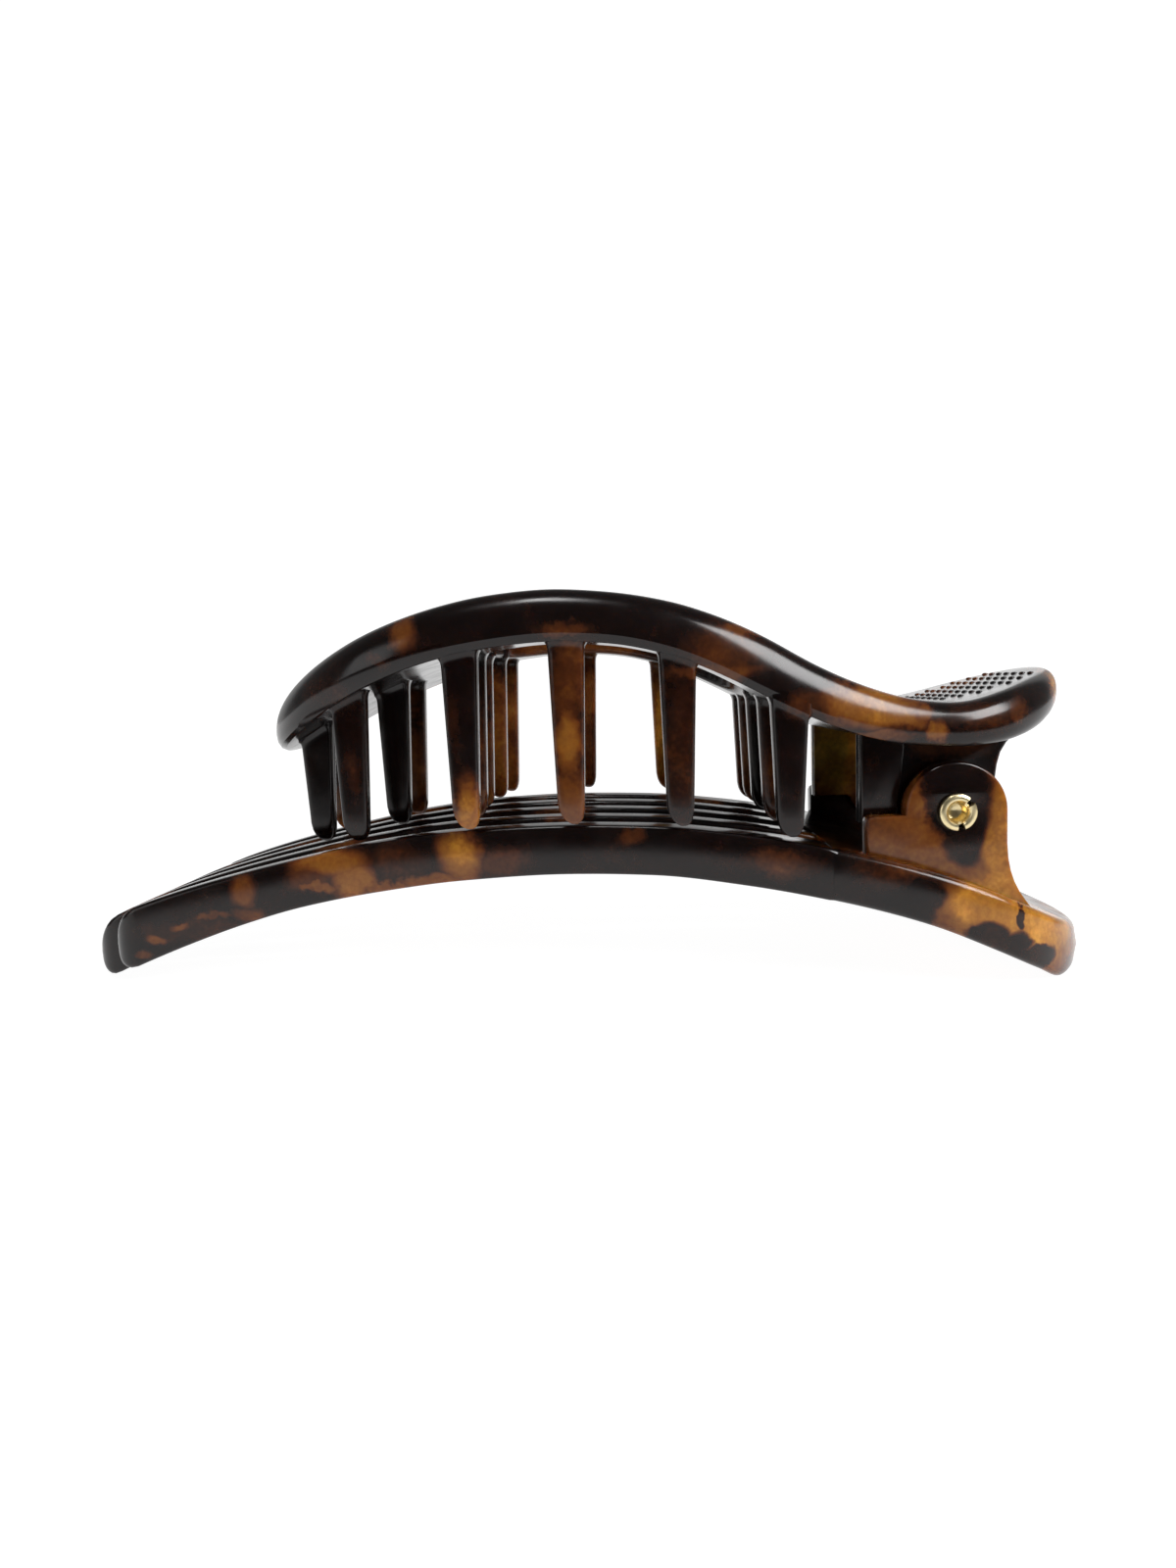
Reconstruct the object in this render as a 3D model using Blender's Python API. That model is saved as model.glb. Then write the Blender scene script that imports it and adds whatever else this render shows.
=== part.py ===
"""Flat claw hair clip: an arched base arm with five prongs and a toothed upper arm on a sprung hinge.

Sizes are in millimetres until a mesh is made, and MM turns them into metres. X runs from the nose of
the clip to its hinge end and is measured from the middle of the opening. Y runs across the clip from
its middle plane. Z is the height above the table that the closed clip lies on.
"""

import math
from collections import namedtuple

import bmesh
import bpy
from mathutils import Matrix, Vector

MM = 0.001
MERGE = 0.00002
SHIFT_X = 7.0

# Hinge
PIN_X = 33.6
PIN_Z = 18.35
PIN_RADIUS = 1.3
PIN_GAP = 0.3
FLANGE_RADIUS = 1.95
FLANGE_THICKNESS = 0.55
CUP_RADIUS = 1.0
CUP_DEPTH = 2.2
NOTCH_WIDTH = 0.55
NOTCH_ANGLES = (-80.0, 40.0)

# Ears, given as distances from the middle plane
BASE_EAR_INNER = 13.9
BASE_EAR_OUTER = 16.1
BASE_EAR_RADIUS = 5.2
UPPER_EAR_INNER = 11.3
UPPER_EAR_OUTER = 13.55
UPPER_EAR_RADIUS = 4.7
EAR_ROOT = 2.0

# Outlines of the ears from the side, as points measured from the pin
Offset = namedtuple("Offset", "x z")
EAR_FRONT = -9.2
BASE_EAR_FOOT_X = 7.6
BASE_EAR_REAR = [Offset(6.9, -8.05), Offset(5.9, -7.0), Offset(5.25, -4.6)]
BASE_EAR_SHOULDER = [Offset(-5.3, -0.5), Offset(-8.8, -0.4), Offset(-9.2, -0.9)]
BASE_EAR_SINK = 1.5
UPPER_EAR_FRONT_PLATE = [Offset(-9.2, -1.3), Offset(-5.0, -1.3)]
UPPER_EAR_REAR = [Offset(5.0, 2.4), Offset(5.5, 5.0), Offset(6.4, 7.0)]
UPPER_EAR_TOP_X = 7.4

# Base arm
Station = namedtuple("Station", "x top bottom")
BASE_PROFILE = [
    Station(-65.0, 5.2, 0.0),
    Station(-63.2, 6.5, 0.0),
    Station(-60.0, 8.1, 1.3),
    Station(-54.0, 10.5, 3.9),
    Station(-48.0, 12.3, 6.2),
    Station(-42.0, 13.8, 8.2),
    Station(-36.0, 15.1, 9.8),
    Station(-28.0, 16.6, 11.2),
    Station(-18.0, 17.7, 12.3),
    Station(-8.0, 18.0, 12.7),
    Station(2.0, 17.7, 12.4),
    Station(12.0, 16.6, 11.2),
    Station(22.0, 14.8, 9.3),
    Station(30.0, 12.7, 7.1),
    Station(37.0, 10.2, 4.2),
    Station(42.0, 7.8, 1.7),
    Station(45.5, 6.1, 0.0),
    Station(49.0, 4.7, 0.0),
    Station(51.0, 4.1, 0.0),
]
Width = namedtuple("Width", "x half")
BASE_FREE_END = [
    Width(-64.96, 2.2),
    Width(-64.2, 5.25),
    Width(-62.6, 8.75),
    Width(-58.0, 12.25),
    Width(-56.6, 15.75),
]
BASE_HALF_WIDTH = 15.75
BASE_FLARE_X = -4.0
BASE_END_CURVE_X = 36.0
BASE_END_X = 51.0
BASE_END_HALF_WIDTH = 19.0
BASE_CORNER = 1.1
SLOT_WIDTH = 3.5
PRONG_PITCH = 7.0
SLOT_END_X = 21.5

# Upper arm
UPPER_PROFILE = [
    Station(-42.0, 30.7, 25.4),
    Station(-38.0, 33.3, 27.5),
    Station(-33.0, 36.1, 30.5),
    Station(-27.0, 38.8, 33.3),
    Station(-20.0, 40.95, 35.6),
    Station(-14.0, 42.1, 36.7),
    Station(-8.0, 42.5, 37.15),
    Station(-2.0, 42.05, 36.8),
    Station(4.0, 40.95, 35.5),
    Station(9.0, 39.3, 33.5),
    Station(14.0, 37.0, 30.9),
    Station(19.0, 34.1, 28.45),
    Station(24.0, 31.8, 26.5),
    Station(29.0, 30.2, 25.45),
    Station(34.0, 29.6, 25.1),
    Station(38.0, 30.35, 25.3),
    Station(42.0, 31.5, 26.15),
    Station(46.0, 32.7, 27.8),
    Station(50.0, 34.1, 29.9),
]
NOSE_X = -42.1
NOSE_CURVE_X = -18.0
UPPER_HALF_WIDTH = 19.5
THUMB_TAPER_X = 4.0
THUMB_CURVE_X = 33.0
THUMB_END_X = 48.9
THUMB_HALF_WIDTH = 17.0
OUTER_TOP_ROUND = 2.1
OUTER_BOTTOM_ROUND = 0.9
INNER_TOP_ROUND = 1.4
INNER_BOTTOM_ROUND = 0.8

# Opening in the upper arm: a square with bulging sides
OPENING_X = -1.0
OPENING_HALF_LENGTH = 15.1
OPENING_HALF_WIDTH = 13.0
OPENING_POWER = 4.0

# Teeth: each row is a pair on both sides of the middle plane, or a single tooth at y = 0
Tooth = namedtuple("Tooth", "x y tip_gap")
TEETH = [
    Tooth(-36.5, 4.45, 0.4),
    Tooth(-29.9, 13.3, 0.4),
    Tooth(-27.3, 4.45, 0.4),
    Tooth(-17.0, 17.6, 0.5),
    Tooth(-17.5, 8.9, 0.7),
    Tooth(-18.0, 0.0, 0.7),
    Tooth(-6.1, 17.6, 0.5),
    Tooth(5.1, 17.6, 0.5),
    Tooth(16.3, 17.2, 0.5),
    Tooth(16.1, 8.9, 0.9),
    Tooth(16.0, 0.0, 0.9),
]
TOOTH_ROOT_DEPTH = 2.0
Cut = namedtuple("Cut", "above_tip length thickness shift")
TOOTH_CUTS = [
    Cut(0.0, 0.9, 0.8, 0.25),
    Cut(0.4, 1.7, 1.2, 0.2),
    Cut(1.3, 2.3, 1.5, 0.1),
    Cut(2.6, 2.7, 1.8, 0.0),
]
TOOTH_TOP_LENGTH = 3.6
TOOTH_TOP_THICKNESS = 2.4

# Torsion spring
WIRE_RADIUS = 0.5
COIL_RADIUS = 2.1
COIL_PITCH = 1.3
COIL_TURNS = 6
COIL_POINTS_PER_TURN = 12
COIL_START_Y = -4.5
LEG_REACH_X = 41.0
LEG_GAP = 0.3

# Fineness of the curved parts
PLATE_STEPS = 60
SPAN_STEPS = 7
CORNER_STEPS = 2
BASE_END_STEPS = 8
CIRCLE_SIDES = 24


def clear_scene():
    for obj in list(bpy.data.objects):
        bpy.data.objects.remove(obj, do_unlink=True)


def new_collection(name):
    collection = bpy.data.collections.new(name)
    bpy.context.scene.collection.children.link(collection)
    return collection


def plastic(name, colour, roughness):
    material = bpy.data.materials.new(name)
    material.use_nodes = True
    shader = material.node_tree.nodes["Principled BSDF"]
    shader.inputs["Base Color"].default_value = (*colour, 1.0)
    shader.inputs["Roughness"].default_value = roughness
    shader.inputs["Metallic"].default_value = 0.0
    return material


def metal(name, colour, roughness):
    material = plastic(name, colour, roughness)
    material.node_tree.nodes["Principled BSDF"].inputs["Metallic"].default_value = 1.0
    return material


# Curves through the tables
def smooth_step(value):
    t = min(max(value, 0.0), 1.0)
    return t * t * (3.0 - 2.0 * t)


def slope_between(first, second, column):
    return (getattr(second, column) - getattr(first, column)) / (second.x - first.x)


def slope_at(table, i, column):
    """The curve's slope at a row: level where the column is flat or turns, so it never overshoots."""
    if i == 0:
        return slope_between(table[0], table[1], column)
    if i == len(table) - 1:
        return slope_between(table[-2], table[-1], column)
    before = slope_between(table[i - 1], table[i], column)
    after = slope_between(table[i], table[i + 1], column)
    if before * after <= 0.0:
        return 0.0
    return 2.0 * before * after / (before + after)


def along(table, x, column):
    """Reads a column of a table at x, on a smooth curve through its rows."""
    if x <= table[0].x:
        return getattr(table[0], column)
    for i in range(len(table) - 1):
        here = table[i]
        after = table[i + 1]
        if x <= after.x:
            step = after.x - here.x
            t = (x - here.x) / step
            rise = getattr(after, column) - getattr(here, column)
            start = slope_at(table, i, column) * step
            end = slope_at(table, i + 1, column) * step
            bend = (start - rise) * (1.0 - t) - (end - rise) * t
            return getattr(here, column) + rise * t + bend * t * (1.0 - t)
    return getattr(table[-1], column)


def base_top(x):
    return along(BASE_PROFILE, x, "top")


def base_bottom(x):
    return along(BASE_PROFILE, x, "bottom")


def upper_top(x):
    return along(UPPER_PROFILE, x, "top")


def upper_bottom(x):
    return along(UPPER_PROFILE, x, "bottom")


def ellipse_width(x, centre, reach, width):
    part = min(abs(x - centre) / reach, 1.0)
    return width * math.sqrt(1.0 - part * part)


def base_half_width(x):
    for here, after in zip(BASE_FREE_END, BASE_FREE_END[1:]):
        if x < after.x:
            return here.half + slope_between(here, after, "half") * (x - here.x)
    if x > BASE_END_CURVE_X:
        reach = BASE_END_X - BASE_END_CURVE_X
        return ellipse_width(x, BASE_END_CURVE_X, reach, BASE_END_HALF_WIDTH)
    flare = smooth_step((x - BASE_FLARE_X) / (BASE_END_CURVE_X - BASE_FLARE_X))
    return BASE_HALF_WIDTH + (BASE_END_HALF_WIDTH - BASE_HALF_WIDTH) * flare


def upper_half_width(x):
    if x < NOSE_CURVE_X:
        return ellipse_width(x, NOSE_CURVE_X, NOSE_CURVE_X - NOSE_X, UPPER_HALF_WIDTH)
    if x > THUMB_CURVE_X:
        return ellipse_width(x, THUMB_CURVE_X, THUMB_END_X - THUMB_CURVE_X, THUMB_HALF_WIDTH)
    taper = smooth_step((x - THUMB_TAPER_X) / (THUMB_CURVE_X - THUMB_TAPER_X))
    return UPPER_HALF_WIDTH - (UPPER_HALF_WIDTH - THUMB_HALF_WIDTH) * taper


# Mesh helpers
def object_from_bmesh(name, bm, material, collection):
    bmesh.ops.recalc_face_normals(bm, faces=bm.faces)
    mesh = bpy.data.meshes.new(name)
    bm.to_mesh(mesh)
    bm.free()
    mesh.materials.append(material)
    obj = bpy.data.objects.new(name, mesh)
    collection.objects.link(obj)
    return obj


def skin(name, loops, material, collection, closed_ring=False):
    """Joins equal loops of points into one closed body, with end caps unless the loops form a ring."""
    bm = bmesh.new()
    rings = [[bm.verts.new(Vector(point) * MM) for point in loop] for loop in loops]
    size = len(rings[0])
    pairs = list(zip(rings, rings[1:]))
    if closed_ring:
        pairs.append((rings[-1], rings[0]))
    else:
        bm.faces.new(rings[0])
        bm.faces.new(rings[-1])
    for first, second in pairs:
        for i in range(size):
            k = (i + 1) % size
            bm.faces.new((first[i], first[k], second[k], second[i]))
    return object_from_bmesh(name, bm, material, collection)


def mesh_from_curve(curve_object, material, collection):
    """Replaces a curve object with a closed mesh of the same name and place."""
    name = curve_object.name
    collection.objects.link(curve_object)
    bpy.context.view_layer.update()
    evaluated = curve_object.evaluated_get(bpy.context.evaluated_depsgraph_get())
    mesh = bpy.data.meshes.new_from_object(evaluated)
    place = curve_object.matrix_world.copy()
    bpy.data.objects.remove(curve_object, do_unlink=True)
    bm = bmesh.new()
    bm.from_mesh(mesh)
    bmesh.ops.remove_doubles(bm, verts=bm.verts, dist=MERGE)
    bpy.data.meshes.remove(mesh)
    obj = object_from_bmesh(name, bm, material, collection)
    obj.matrix_world = place
    return obj


def poly_curve(name, points, closed):
    curve = bpy.data.curves.new(name, "CURVE")
    spline = curve.splines.new("POLY")
    spline.points.add(len(points) - 1)
    for place, point in zip(spline.points, points):
        place.co = (*(Vector(point) * MM), 1.0)
    spline.use_cyclic_u = closed
    return bpy.data.objects.new(name, curve), curve


def flat_outline(name, points, low, high, across_y, material, collection):
    """A slab with the given outline, in XZ from y = low to high, or in XY from z = low to high."""
    obj, curve = poly_curve(name, [(a, b, 0.0) for a, b in points], True)
    curve.dimensions = "2D"
    curve.fill_mode = "BOTH"
    curve.extrude = (high - low) / 2.0 * MM
    middle = (high + low) / 2.0 * MM
    if across_y:
        obj.matrix_world = Matrix.Translation((0.0, middle, 0.0)) @ Matrix.Rotation(math.pi / 2.0, 4, "X")
    else:
        obj.matrix_world = Matrix.Translation((0.0, 0.0, middle))
    return mesh_from_curve(obj, material, collection)


def wire(name, points, material, collection):
    obj, curve = poly_curve(name, points, False)
    curve.dimensions = "3D"
    curve.bevel_depth = WIRE_RADIUS * MM
    curve.bevel_resolution = 2
    curve.use_fill_caps = True
    return mesh_from_curve(obj, material, collection)


def cylinder(name, radius, length, y, sides, material, collection):
    """A cylinder along Y on the hinge axis, centred at y."""
    bm = bmesh.new()
    turn = Matrix.Rotation(math.pi / 2.0, 4, "X")
    place = Matrix.Translation(Vector((PIN_X, y, PIN_Z)) * MM)
    bmesh.ops.create_cone(
        bm,
        cap_ends=True,
        segments=sides,
        radius1=radius * MM,
        radius2=radius * MM,
        depth=length * MM,
        matrix=place @ turn,
    )
    return object_from_bmesh(name, bm, material, collection)


def bake(obj):
    """Applies an object's modifiers and its place, so that its mesh stands in the clip's own frame."""
    bpy.context.view_layer.update()
    evaluated = obj.evaluated_get(bpy.context.evaluated_depsgraph_get())
    mesh = bpy.data.meshes.new_from_object(evaluated)
    mesh.transform(obj.matrix_world)
    old = obj.data
    obj.modifiers.clear()
    obj.data = mesh
    obj.matrix_world = Matrix.Identity(4)
    bpy.data.meshes.remove(old)
    mesh.name = obj.name


def combine(body, others, operation):
    """Adds the other objects to the body, or cuts them from it, and removes them."""
    for other in others:
        modifier = body.modifiers.new("boolean", "BOOLEAN")
        modifier.operation = operation
        modifier.solver = "EXACT"
        modifier.object = other
    bake(body)
    for other in others:
        bpy.data.objects.remove(other, do_unlink=True)


def keep_cutter(obj):
    obj.hide_render = True
    obj.display_type = "WIRE"


def put_origin(obj, x, y, z):
    """Gives a body its origin at a point of the clip's frame and moves the clip over its own middle."""
    point = Vector((x, y, z)) * MM
    obj.data.transform(Matrix.Translation(-point))
    obj.location = point + Vector((SHIFT_X, 0.0, 0.0)) * MM


# Base arm
def rounded_section(x, half_width, low, high):
    """Points of a rectangle across the arm with rounded corners, in the plane of the given x."""
    radius = min(BASE_CORNER, 0.45 * half_width, 0.45 * (high - low))
    points = []
    corners = [(1, 1, 0), (-1, 1, 90), (-1, -1, 180), (1, -1, 270)]
    for side, up, start in corners:
        y = side * (half_width - radius)
        z = (high - radius) if up > 0 else (low + radius)
        for k in range(CORNER_STEPS + 1):
            angle = math.radians(start + 90.0 * k / CORNER_STEPS)
            points.append((x, y + radius * math.cos(angle), z + radius * math.sin(angle)))
    return points


def base_stations():
    """X positions of the base arm's sections, closer together where the ends curve in plan."""
    places = [row.x for row in BASE_FREE_END]
    places += [station.x for station in BASE_PROFILE if places[-1] < station.x < BASE_END_CURVE_X]
    reach = BASE_END_X - BASE_END_CURVE_X
    for k in range(1, BASE_END_STEPS + 1):
        angle = math.radians(86.0 * k / BASE_END_STEPS)
        places.append(BASE_END_CURVE_X + reach * math.sin(angle))
    return sorted(places)


def base_slab(material, collection):
    loops = []
    for x in base_stations():
        loops.append(rounded_section(x, base_half_width(x), base_bottom(x), base_top(x)))
    return skin("base_arm", loops, material, collection)


def slot_cutters(material, collection):
    cutters = []
    radius = SLOT_WIDTH / 2.0
    start = BASE_FREE_END[0].x - 5.0
    centre = SLOT_END_X - radius
    for number, pitches in enumerate((-1.5, -0.5, 0.5, 1.5)):
        y = pitches * PRONG_PITCH
        outline = [(start, y + radius), (start, y - radius)]
        for k in range(9):
            angle = math.radians(-90.0 + 180.0 * k / 8)
            outline.append((centre + radius * math.cos(angle), y + radius * math.sin(angle)))
        name = "slot_cutter_%d" % (number + 1)
        cutter = flat_outline(name, outline, -2.0, 25.0, False, material, collection)
        keep_cutter(cutter)
        cutters.append(cutter)
    return cutters


def from_pin(offsets):
    return [(PIN_X + offset.x, PIN_Z + offset.z) for offset in offsets]


def arc_round_pin(radius, start, end, steps):
    points = []
    for k in range(steps + 1):
        angle = math.radians(start + (end - start) * k / steps)
        points.append((PIN_X + radius * math.cos(angle), PIN_Z + radius * math.sin(angle)))
    return points


def base_ear_outline():
    """The outer ear from the side: a round head, a front shoulder and a flared rear foot."""
    feet = [PIN_X + EAR_FRONT, PIN_X + BASE_EAR_FOOT_X]
    points = [(x, base_top(x) - BASE_EAR_SINK) for x in feet]
    points += from_pin(BASE_EAR_REAR)
    points += arc_round_pin(BASE_EAR_RADIUS, 0.0, 180.0, 12)
    return points + from_pin(BASE_EAR_SHOULDER)


def pin_hole(name, material, collection):
    hole = cylinder(name, PIN_RADIUS + PIN_GAP, 60.0, 0.0, CIRCLE_SIDES, material, collection)
    keep_cutter(hole)
    return hole


def make_base_arm(material, collection, cutters):
    arm = base_slab(material, collection)
    combine(arm, slot_cutters(material, cutters), "DIFFERENCE")
    outline = base_ear_outline()
    near = flat_outline("ear_near", outline, -BASE_EAR_OUTER, -BASE_EAR_INNER, True, material, collection)
    far = flat_outline("ear_far", outline, BASE_EAR_INNER, BASE_EAR_OUTER, True, material, collection)
    combine(arm, [near, far], "UNION")
    combine(arm, [pin_hole("base_pin_hole", material, cutters)], "DIFFERENCE")
    put_origin(arm, 0.0, 0.0, 0.0)
    return arm


# Upper arm
def resampled(points, count):
    """Equally spaced points along an open line, with both of its ends."""
    lengths = [0.0]
    for first, second in zip(points, points[1:]):
        lengths.append(lengths[-1] + math.dist(first, second))
    result = []
    i = 0
    for k in range(count):
        target = lengths[-1] * k / (count - 1)
        while i < len(points) - 2 and lengths[i + 1] < target:
            i += 1
        t = (target - lengths[i]) / (lengths[i + 1] - lengths[i])
        result.append(tuple(a + (b - a) * t for a, b in zip(points[i], points[i + 1])))
    return result


def full_ring(half):
    """Closes a half outline, which runs from the nose side to the thumb side, by mirroring it in Y."""
    return half + [(x, -y) for x, y in reversed(half[1:-1])]


def outer_half_outline(count):
    points = []
    for k in range(91):
        angle = math.radians(k)
        x = NOSE_CURVE_X - (NOSE_CURVE_X - NOSE_X) * math.cos(angle)
        points.append((x, -UPPER_HALF_WIDTH * math.sin(angle)))
    for k in range(1, 60):
        x = NOSE_CURVE_X + (THUMB_CURVE_X - NOSE_CURVE_X) * k / 60
        points.append((x, -upper_half_width(x)))
    for k in range(91):
        angle = math.radians(k)
        x = THUMB_CURVE_X + (THUMB_END_X - THUMB_CURVE_X) * math.sin(angle)
        points.append((x, -THUMB_HALF_WIDTH * math.cos(angle)))
    return resampled(points, count)


def opening_half_outline(count):
    points = []
    power = 2.0 / OPENING_POWER
    for k in range(361):
        angle = math.radians(k / 2.0)
        along_x = -math.copysign(abs(math.cos(angle)) ** power, math.cos(angle))
        across = abs(math.sin(angle)) ** power
        points.append((OPENING_X + OPENING_HALF_LENGTH * along_x, -OPENING_HALF_WIDTH * across))
    return resampled(points, count)


def inset(ring, distance):
    """Moves a closed outline sideways, to its left for a positive distance."""
    moved = []
    size = len(ring)
    for i, (x, y) in enumerate(ring):
        before = ring[i - 1]
        after = ring[(i + 1) % size]
        dx = after[0] - before[0]
        dy = after[1] - before[1]
        length = math.hypot(dx, dy)
        moved.append((x - dy / length * distance, y + dx / length * distance))
    return moved


def quarter(start):
    """Angles of a rounded corner, from start degrees on through a quarter turn."""
    return [math.radians(start + 90.0 * k / CORNER_STEPS) for k in range(CORNER_STEPS + 1)]


def upper_plate(material, collection):
    """The plate round the opening: one rounded section carried round from the nose and back."""
    half_count = PLATE_STEPS // 2 + 1
    outer = full_ring(outer_half_outline(half_count))
    inner = full_ring(opening_half_outline(half_count))
    rings = {}
    for key, ring, radius, side in (
        ("outer_top", outer, OUTER_TOP_ROUND, 1.0),
        ("outer_bottom", outer, OUTER_BOTTOM_ROUND, 1.0),
        ("inner_top", inner, INNER_TOP_ROUND, -1.0),
        ("inner_bottom", inner, INNER_BOTTOM_ROUND, -1.0),
    ):
        rings[key] = (inset(ring, side * radius), ring, radius)

    def corner(key, i, start, edge_height, sign):
        centre_ring, edge_ring, radius = rings[key]
        points = []
        for angle in quarter(start):
            out = abs(math.cos(angle))
            up = abs(math.sin(angle))
            x = centre_ring[i][0] + (edge_ring[i][0] - centre_ring[i][0]) * out
            y = centre_ring[i][1] + (edge_ring[i][1] - centre_ring[i][1]) * out
            points.append((x, y, edge_height(x) - sign * radius * (1.0 - up)))
        return points

    def span(first, second, height):
        points = []
        for k in range(1, SPAN_STEPS):
            x = first[0] + (second[0] - first[0]) * k / SPAN_STEPS
            y = first[1] + (second[1] - first[1]) * k / SPAN_STEPS
            points.append((x, y, height(x)))
        return points

    loops = []
    for i in range(len(outer)):
        outer_top = corner("outer_top", i, 0.0, upper_top, 1.0)
        inner_top = corner("inner_top", i, 90.0, upper_top, 1.0)
        inner_bottom = corner("inner_bottom", i, 180.0, upper_bottom, -1.0)
        outer_bottom = corner("outer_bottom", i, 270.0, upper_bottom, -1.0)
        loop = outer_top + span(outer_top[-1], inner_top[0], upper_top) + inner_top
        loop += inner_bottom + span(inner_bottom[-1], outer_bottom[0], upper_bottom) + outer_bottom
        loops.append(loop)
    return skin("upper_arm", loops, material, collection, closed_ring=True)


def tooth_section(x, y, z, length, thickness):
    """An eight-sided section across a tooth: a rectangle with its corners cut off."""
    a = length / 2.0
    b = thickness / 2.0
    c = 0.3 * thickness / 2.0
    corners = [(a, b - c), (a - c, b), (c - a, b), (-a, b - c)]
    corners += [(-a, c - b), (c - a, -b), (a - c, -b), (a, c - b)]
    return [(x + dx, y + dy, z) for dx, dy in corners]


def make_teeth(material, collection):
    teeth = []
    for row, tooth in enumerate(TEETH):
        tip = base_top(tooth.x) + tooth.tip_gap
        root = upper_bottom(tooth.x) + TOOTH_ROOT_DEPTH
        for side in (-1, 1) if tooth.y else (1,):
            y = side * tooth.y
            loops = []
            for cut in TOOTH_CUTS:
                x = tooth.x + cut.shift
                loops.append(tooth_section(x, y, tip + cut.above_tip, cut.length, cut.thickness))
            loops.append(tooth_section(tooth.x, y, root, TOOTH_TOP_LENGTH, TOOTH_TOP_THICKNESS))
            name = "tooth_%d_%s" % (row + 1, "near" if side < 0 else "far")
            teeth.append(skin(name, loops, material, collection))
    return teeth


def upper_ear_outline():
    """The inner ear from the side: a straight front plate, a round boss and a hollow rear edge."""
    roots = [PIN_X + UPPER_EAR_TOP_X, PIN_X + EAR_FRONT]
    points = [(x, upper_bottom(x) + EAR_ROOT) for x in roots]
    points += from_pin(UPPER_EAR_FRONT_PLATE)
    points += arc_round_pin(UPPER_EAR_RADIUS, 200.0, 355.0, 9)
    return points + from_pin(UPPER_EAR_REAR)


def make_upper_arm(material, collection, cutters):
    arm = upper_plate(material, collection)
    outline = upper_ear_outline()
    near = flat_outline("ear_near", outline, -UPPER_EAR_OUTER, -UPPER_EAR_INNER, True, material, collection)
    far = flat_outline("ear_far", outline, UPPER_EAR_INNER, UPPER_EAR_OUTER, True, material, collection)
    combine(arm, [near, far], "UNION")
    combine(arm, make_teeth(material, collection), "UNION")
    combine(arm, [pin_hole("upper_pin_hole", material, cutters)], "DIFFERENCE")
    put_origin(arm, PIN_X, 0.0, PIN_Z)
    return arm


# Rivet and spring
def make_rivet(material, collection, cutters):
    """A pin with a flange outside each base ear, hollow at both ends, with split flanges."""
    reach = BASE_EAR_OUTER + PIN_GAP / 3.0
    rivet = cylinder("hinge_rivet", PIN_RADIUS, 2.0 * (reach + 0.2), 0.0, CIRCLE_SIDES, material, collection)
    flanges = []
    holes = []
    notches = []
    for side in (-1, 1):
        name = "near" if side < 0 else "far"
        y = side * (reach + FLANGE_THICKNESS / 2.0)
        flange = cylinder(
            "flange_" + name, FLANGE_RADIUS, FLANGE_THICKNESS, y, CIRCLE_SIDES, material, collection
        )
        flanges.append(flange)
        end = side * (reach + FLANGE_THICKNESS)
        cup = cylinder("cup_" + name, CUP_RADIUS, 2.0 * CUP_DEPTH, end, CIRCLE_SIDES, material, cutters)
        keep_cutter(cup)
        holes.append(cup)
        for number, degrees in enumerate(NOTCH_ANGLES):
            notch = flange_notch("notch_%s_%d" % (name, number + 1), degrees, y, material, cutters)
            keep_cutter(notch)
            notches.append(notch)
    combine(rivet, flanges, "UNION")
    combine(rivet, holes + notches, "DIFFERENCE")
    put_origin(rivet, PIN_X, 0.0, PIN_Z)
    return rivet


def flange_notch(name, degrees, y, material, collection):
    """A small block across a flange's rim, at an angle about the hinge axis."""
    bm = bmesh.new()
    angle = math.radians(degrees)
    distance = FLANGE_RADIUS
    centre = Vector((PIN_X + distance * math.cos(angle), y, PIN_Z + distance * math.sin(angle))) * MM
    turn = Matrix.Rotation(-angle, 4, "Y")
    size = Matrix.Diagonal((1.2 * MM, 2.0 * FLANGE_THICKNESS * MM, NOTCH_WIDTH * MM, 1.0))
    bmesh.ops.create_cube(bm, size=1.0, matrix=Matrix.Translation(centre) @ turn @ size)
    return object_from_bmesh(name, bm, material, collection)


def on_coil(degrees, y):
    angle = math.radians(degrees)
    return (PIN_X + COIL_RADIUS * math.cos(angle), y, PIN_Z + COIL_RADIUS * math.sin(angle))


def leg_angle(height):
    """Direction, in degrees above +X, of a leg that leaves the coil to end at the given height."""
    return math.degrees(math.atan2(height - PIN_Z, LEG_REACH_X - PIN_X))


def make_spring_coil(material, collection):
    """Full turns on the rivet, and the leg that runs under them and bears on the base arm."""
    foot = base_top(LEG_REACH_X) + WIRE_RADIUS + LEG_GAP
    start = 270.0 + leg_angle(foot) + 8.0
    points = [(LEG_REACH_X, COIL_START_Y, foot)]
    for k in range(COIL_TURNS * COIL_POINTS_PER_TURN + 1):
        turned = 360.0 * k / COIL_POINTS_PER_TURN
        y = COIL_START_Y + COIL_PITCH * k / COIL_POINTS_PER_TURN
        points.append(on_coil(start - turned, y))
    coil = wire("spring_coil", points, material, collection)
    put_origin(coil, PIN_X, 0.0, PIN_Z)
    return coil


def make_spring_end(material, collection):
    """The last part turn, beside the coil, and the leg that bears under the thumb plate."""
    y = COIL_START_Y + COIL_PITCH * (COIL_TURNS + 1)
    head = upper_bottom(LEG_REACH_X) - WIRE_RADIUS - LEG_GAP
    leave = 90.0 + leg_angle(head) - 8.0
    points = []
    for k in range(9):
        points.append(on_coil(leave + 240.0 - 30.0 * k, y))
    points.append((LEG_REACH_X, y, head))
    end = wire("spring_end", points, material, collection)
    put_origin(end, PIN_X, 0.0, PIN_Z)
    return end


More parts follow.
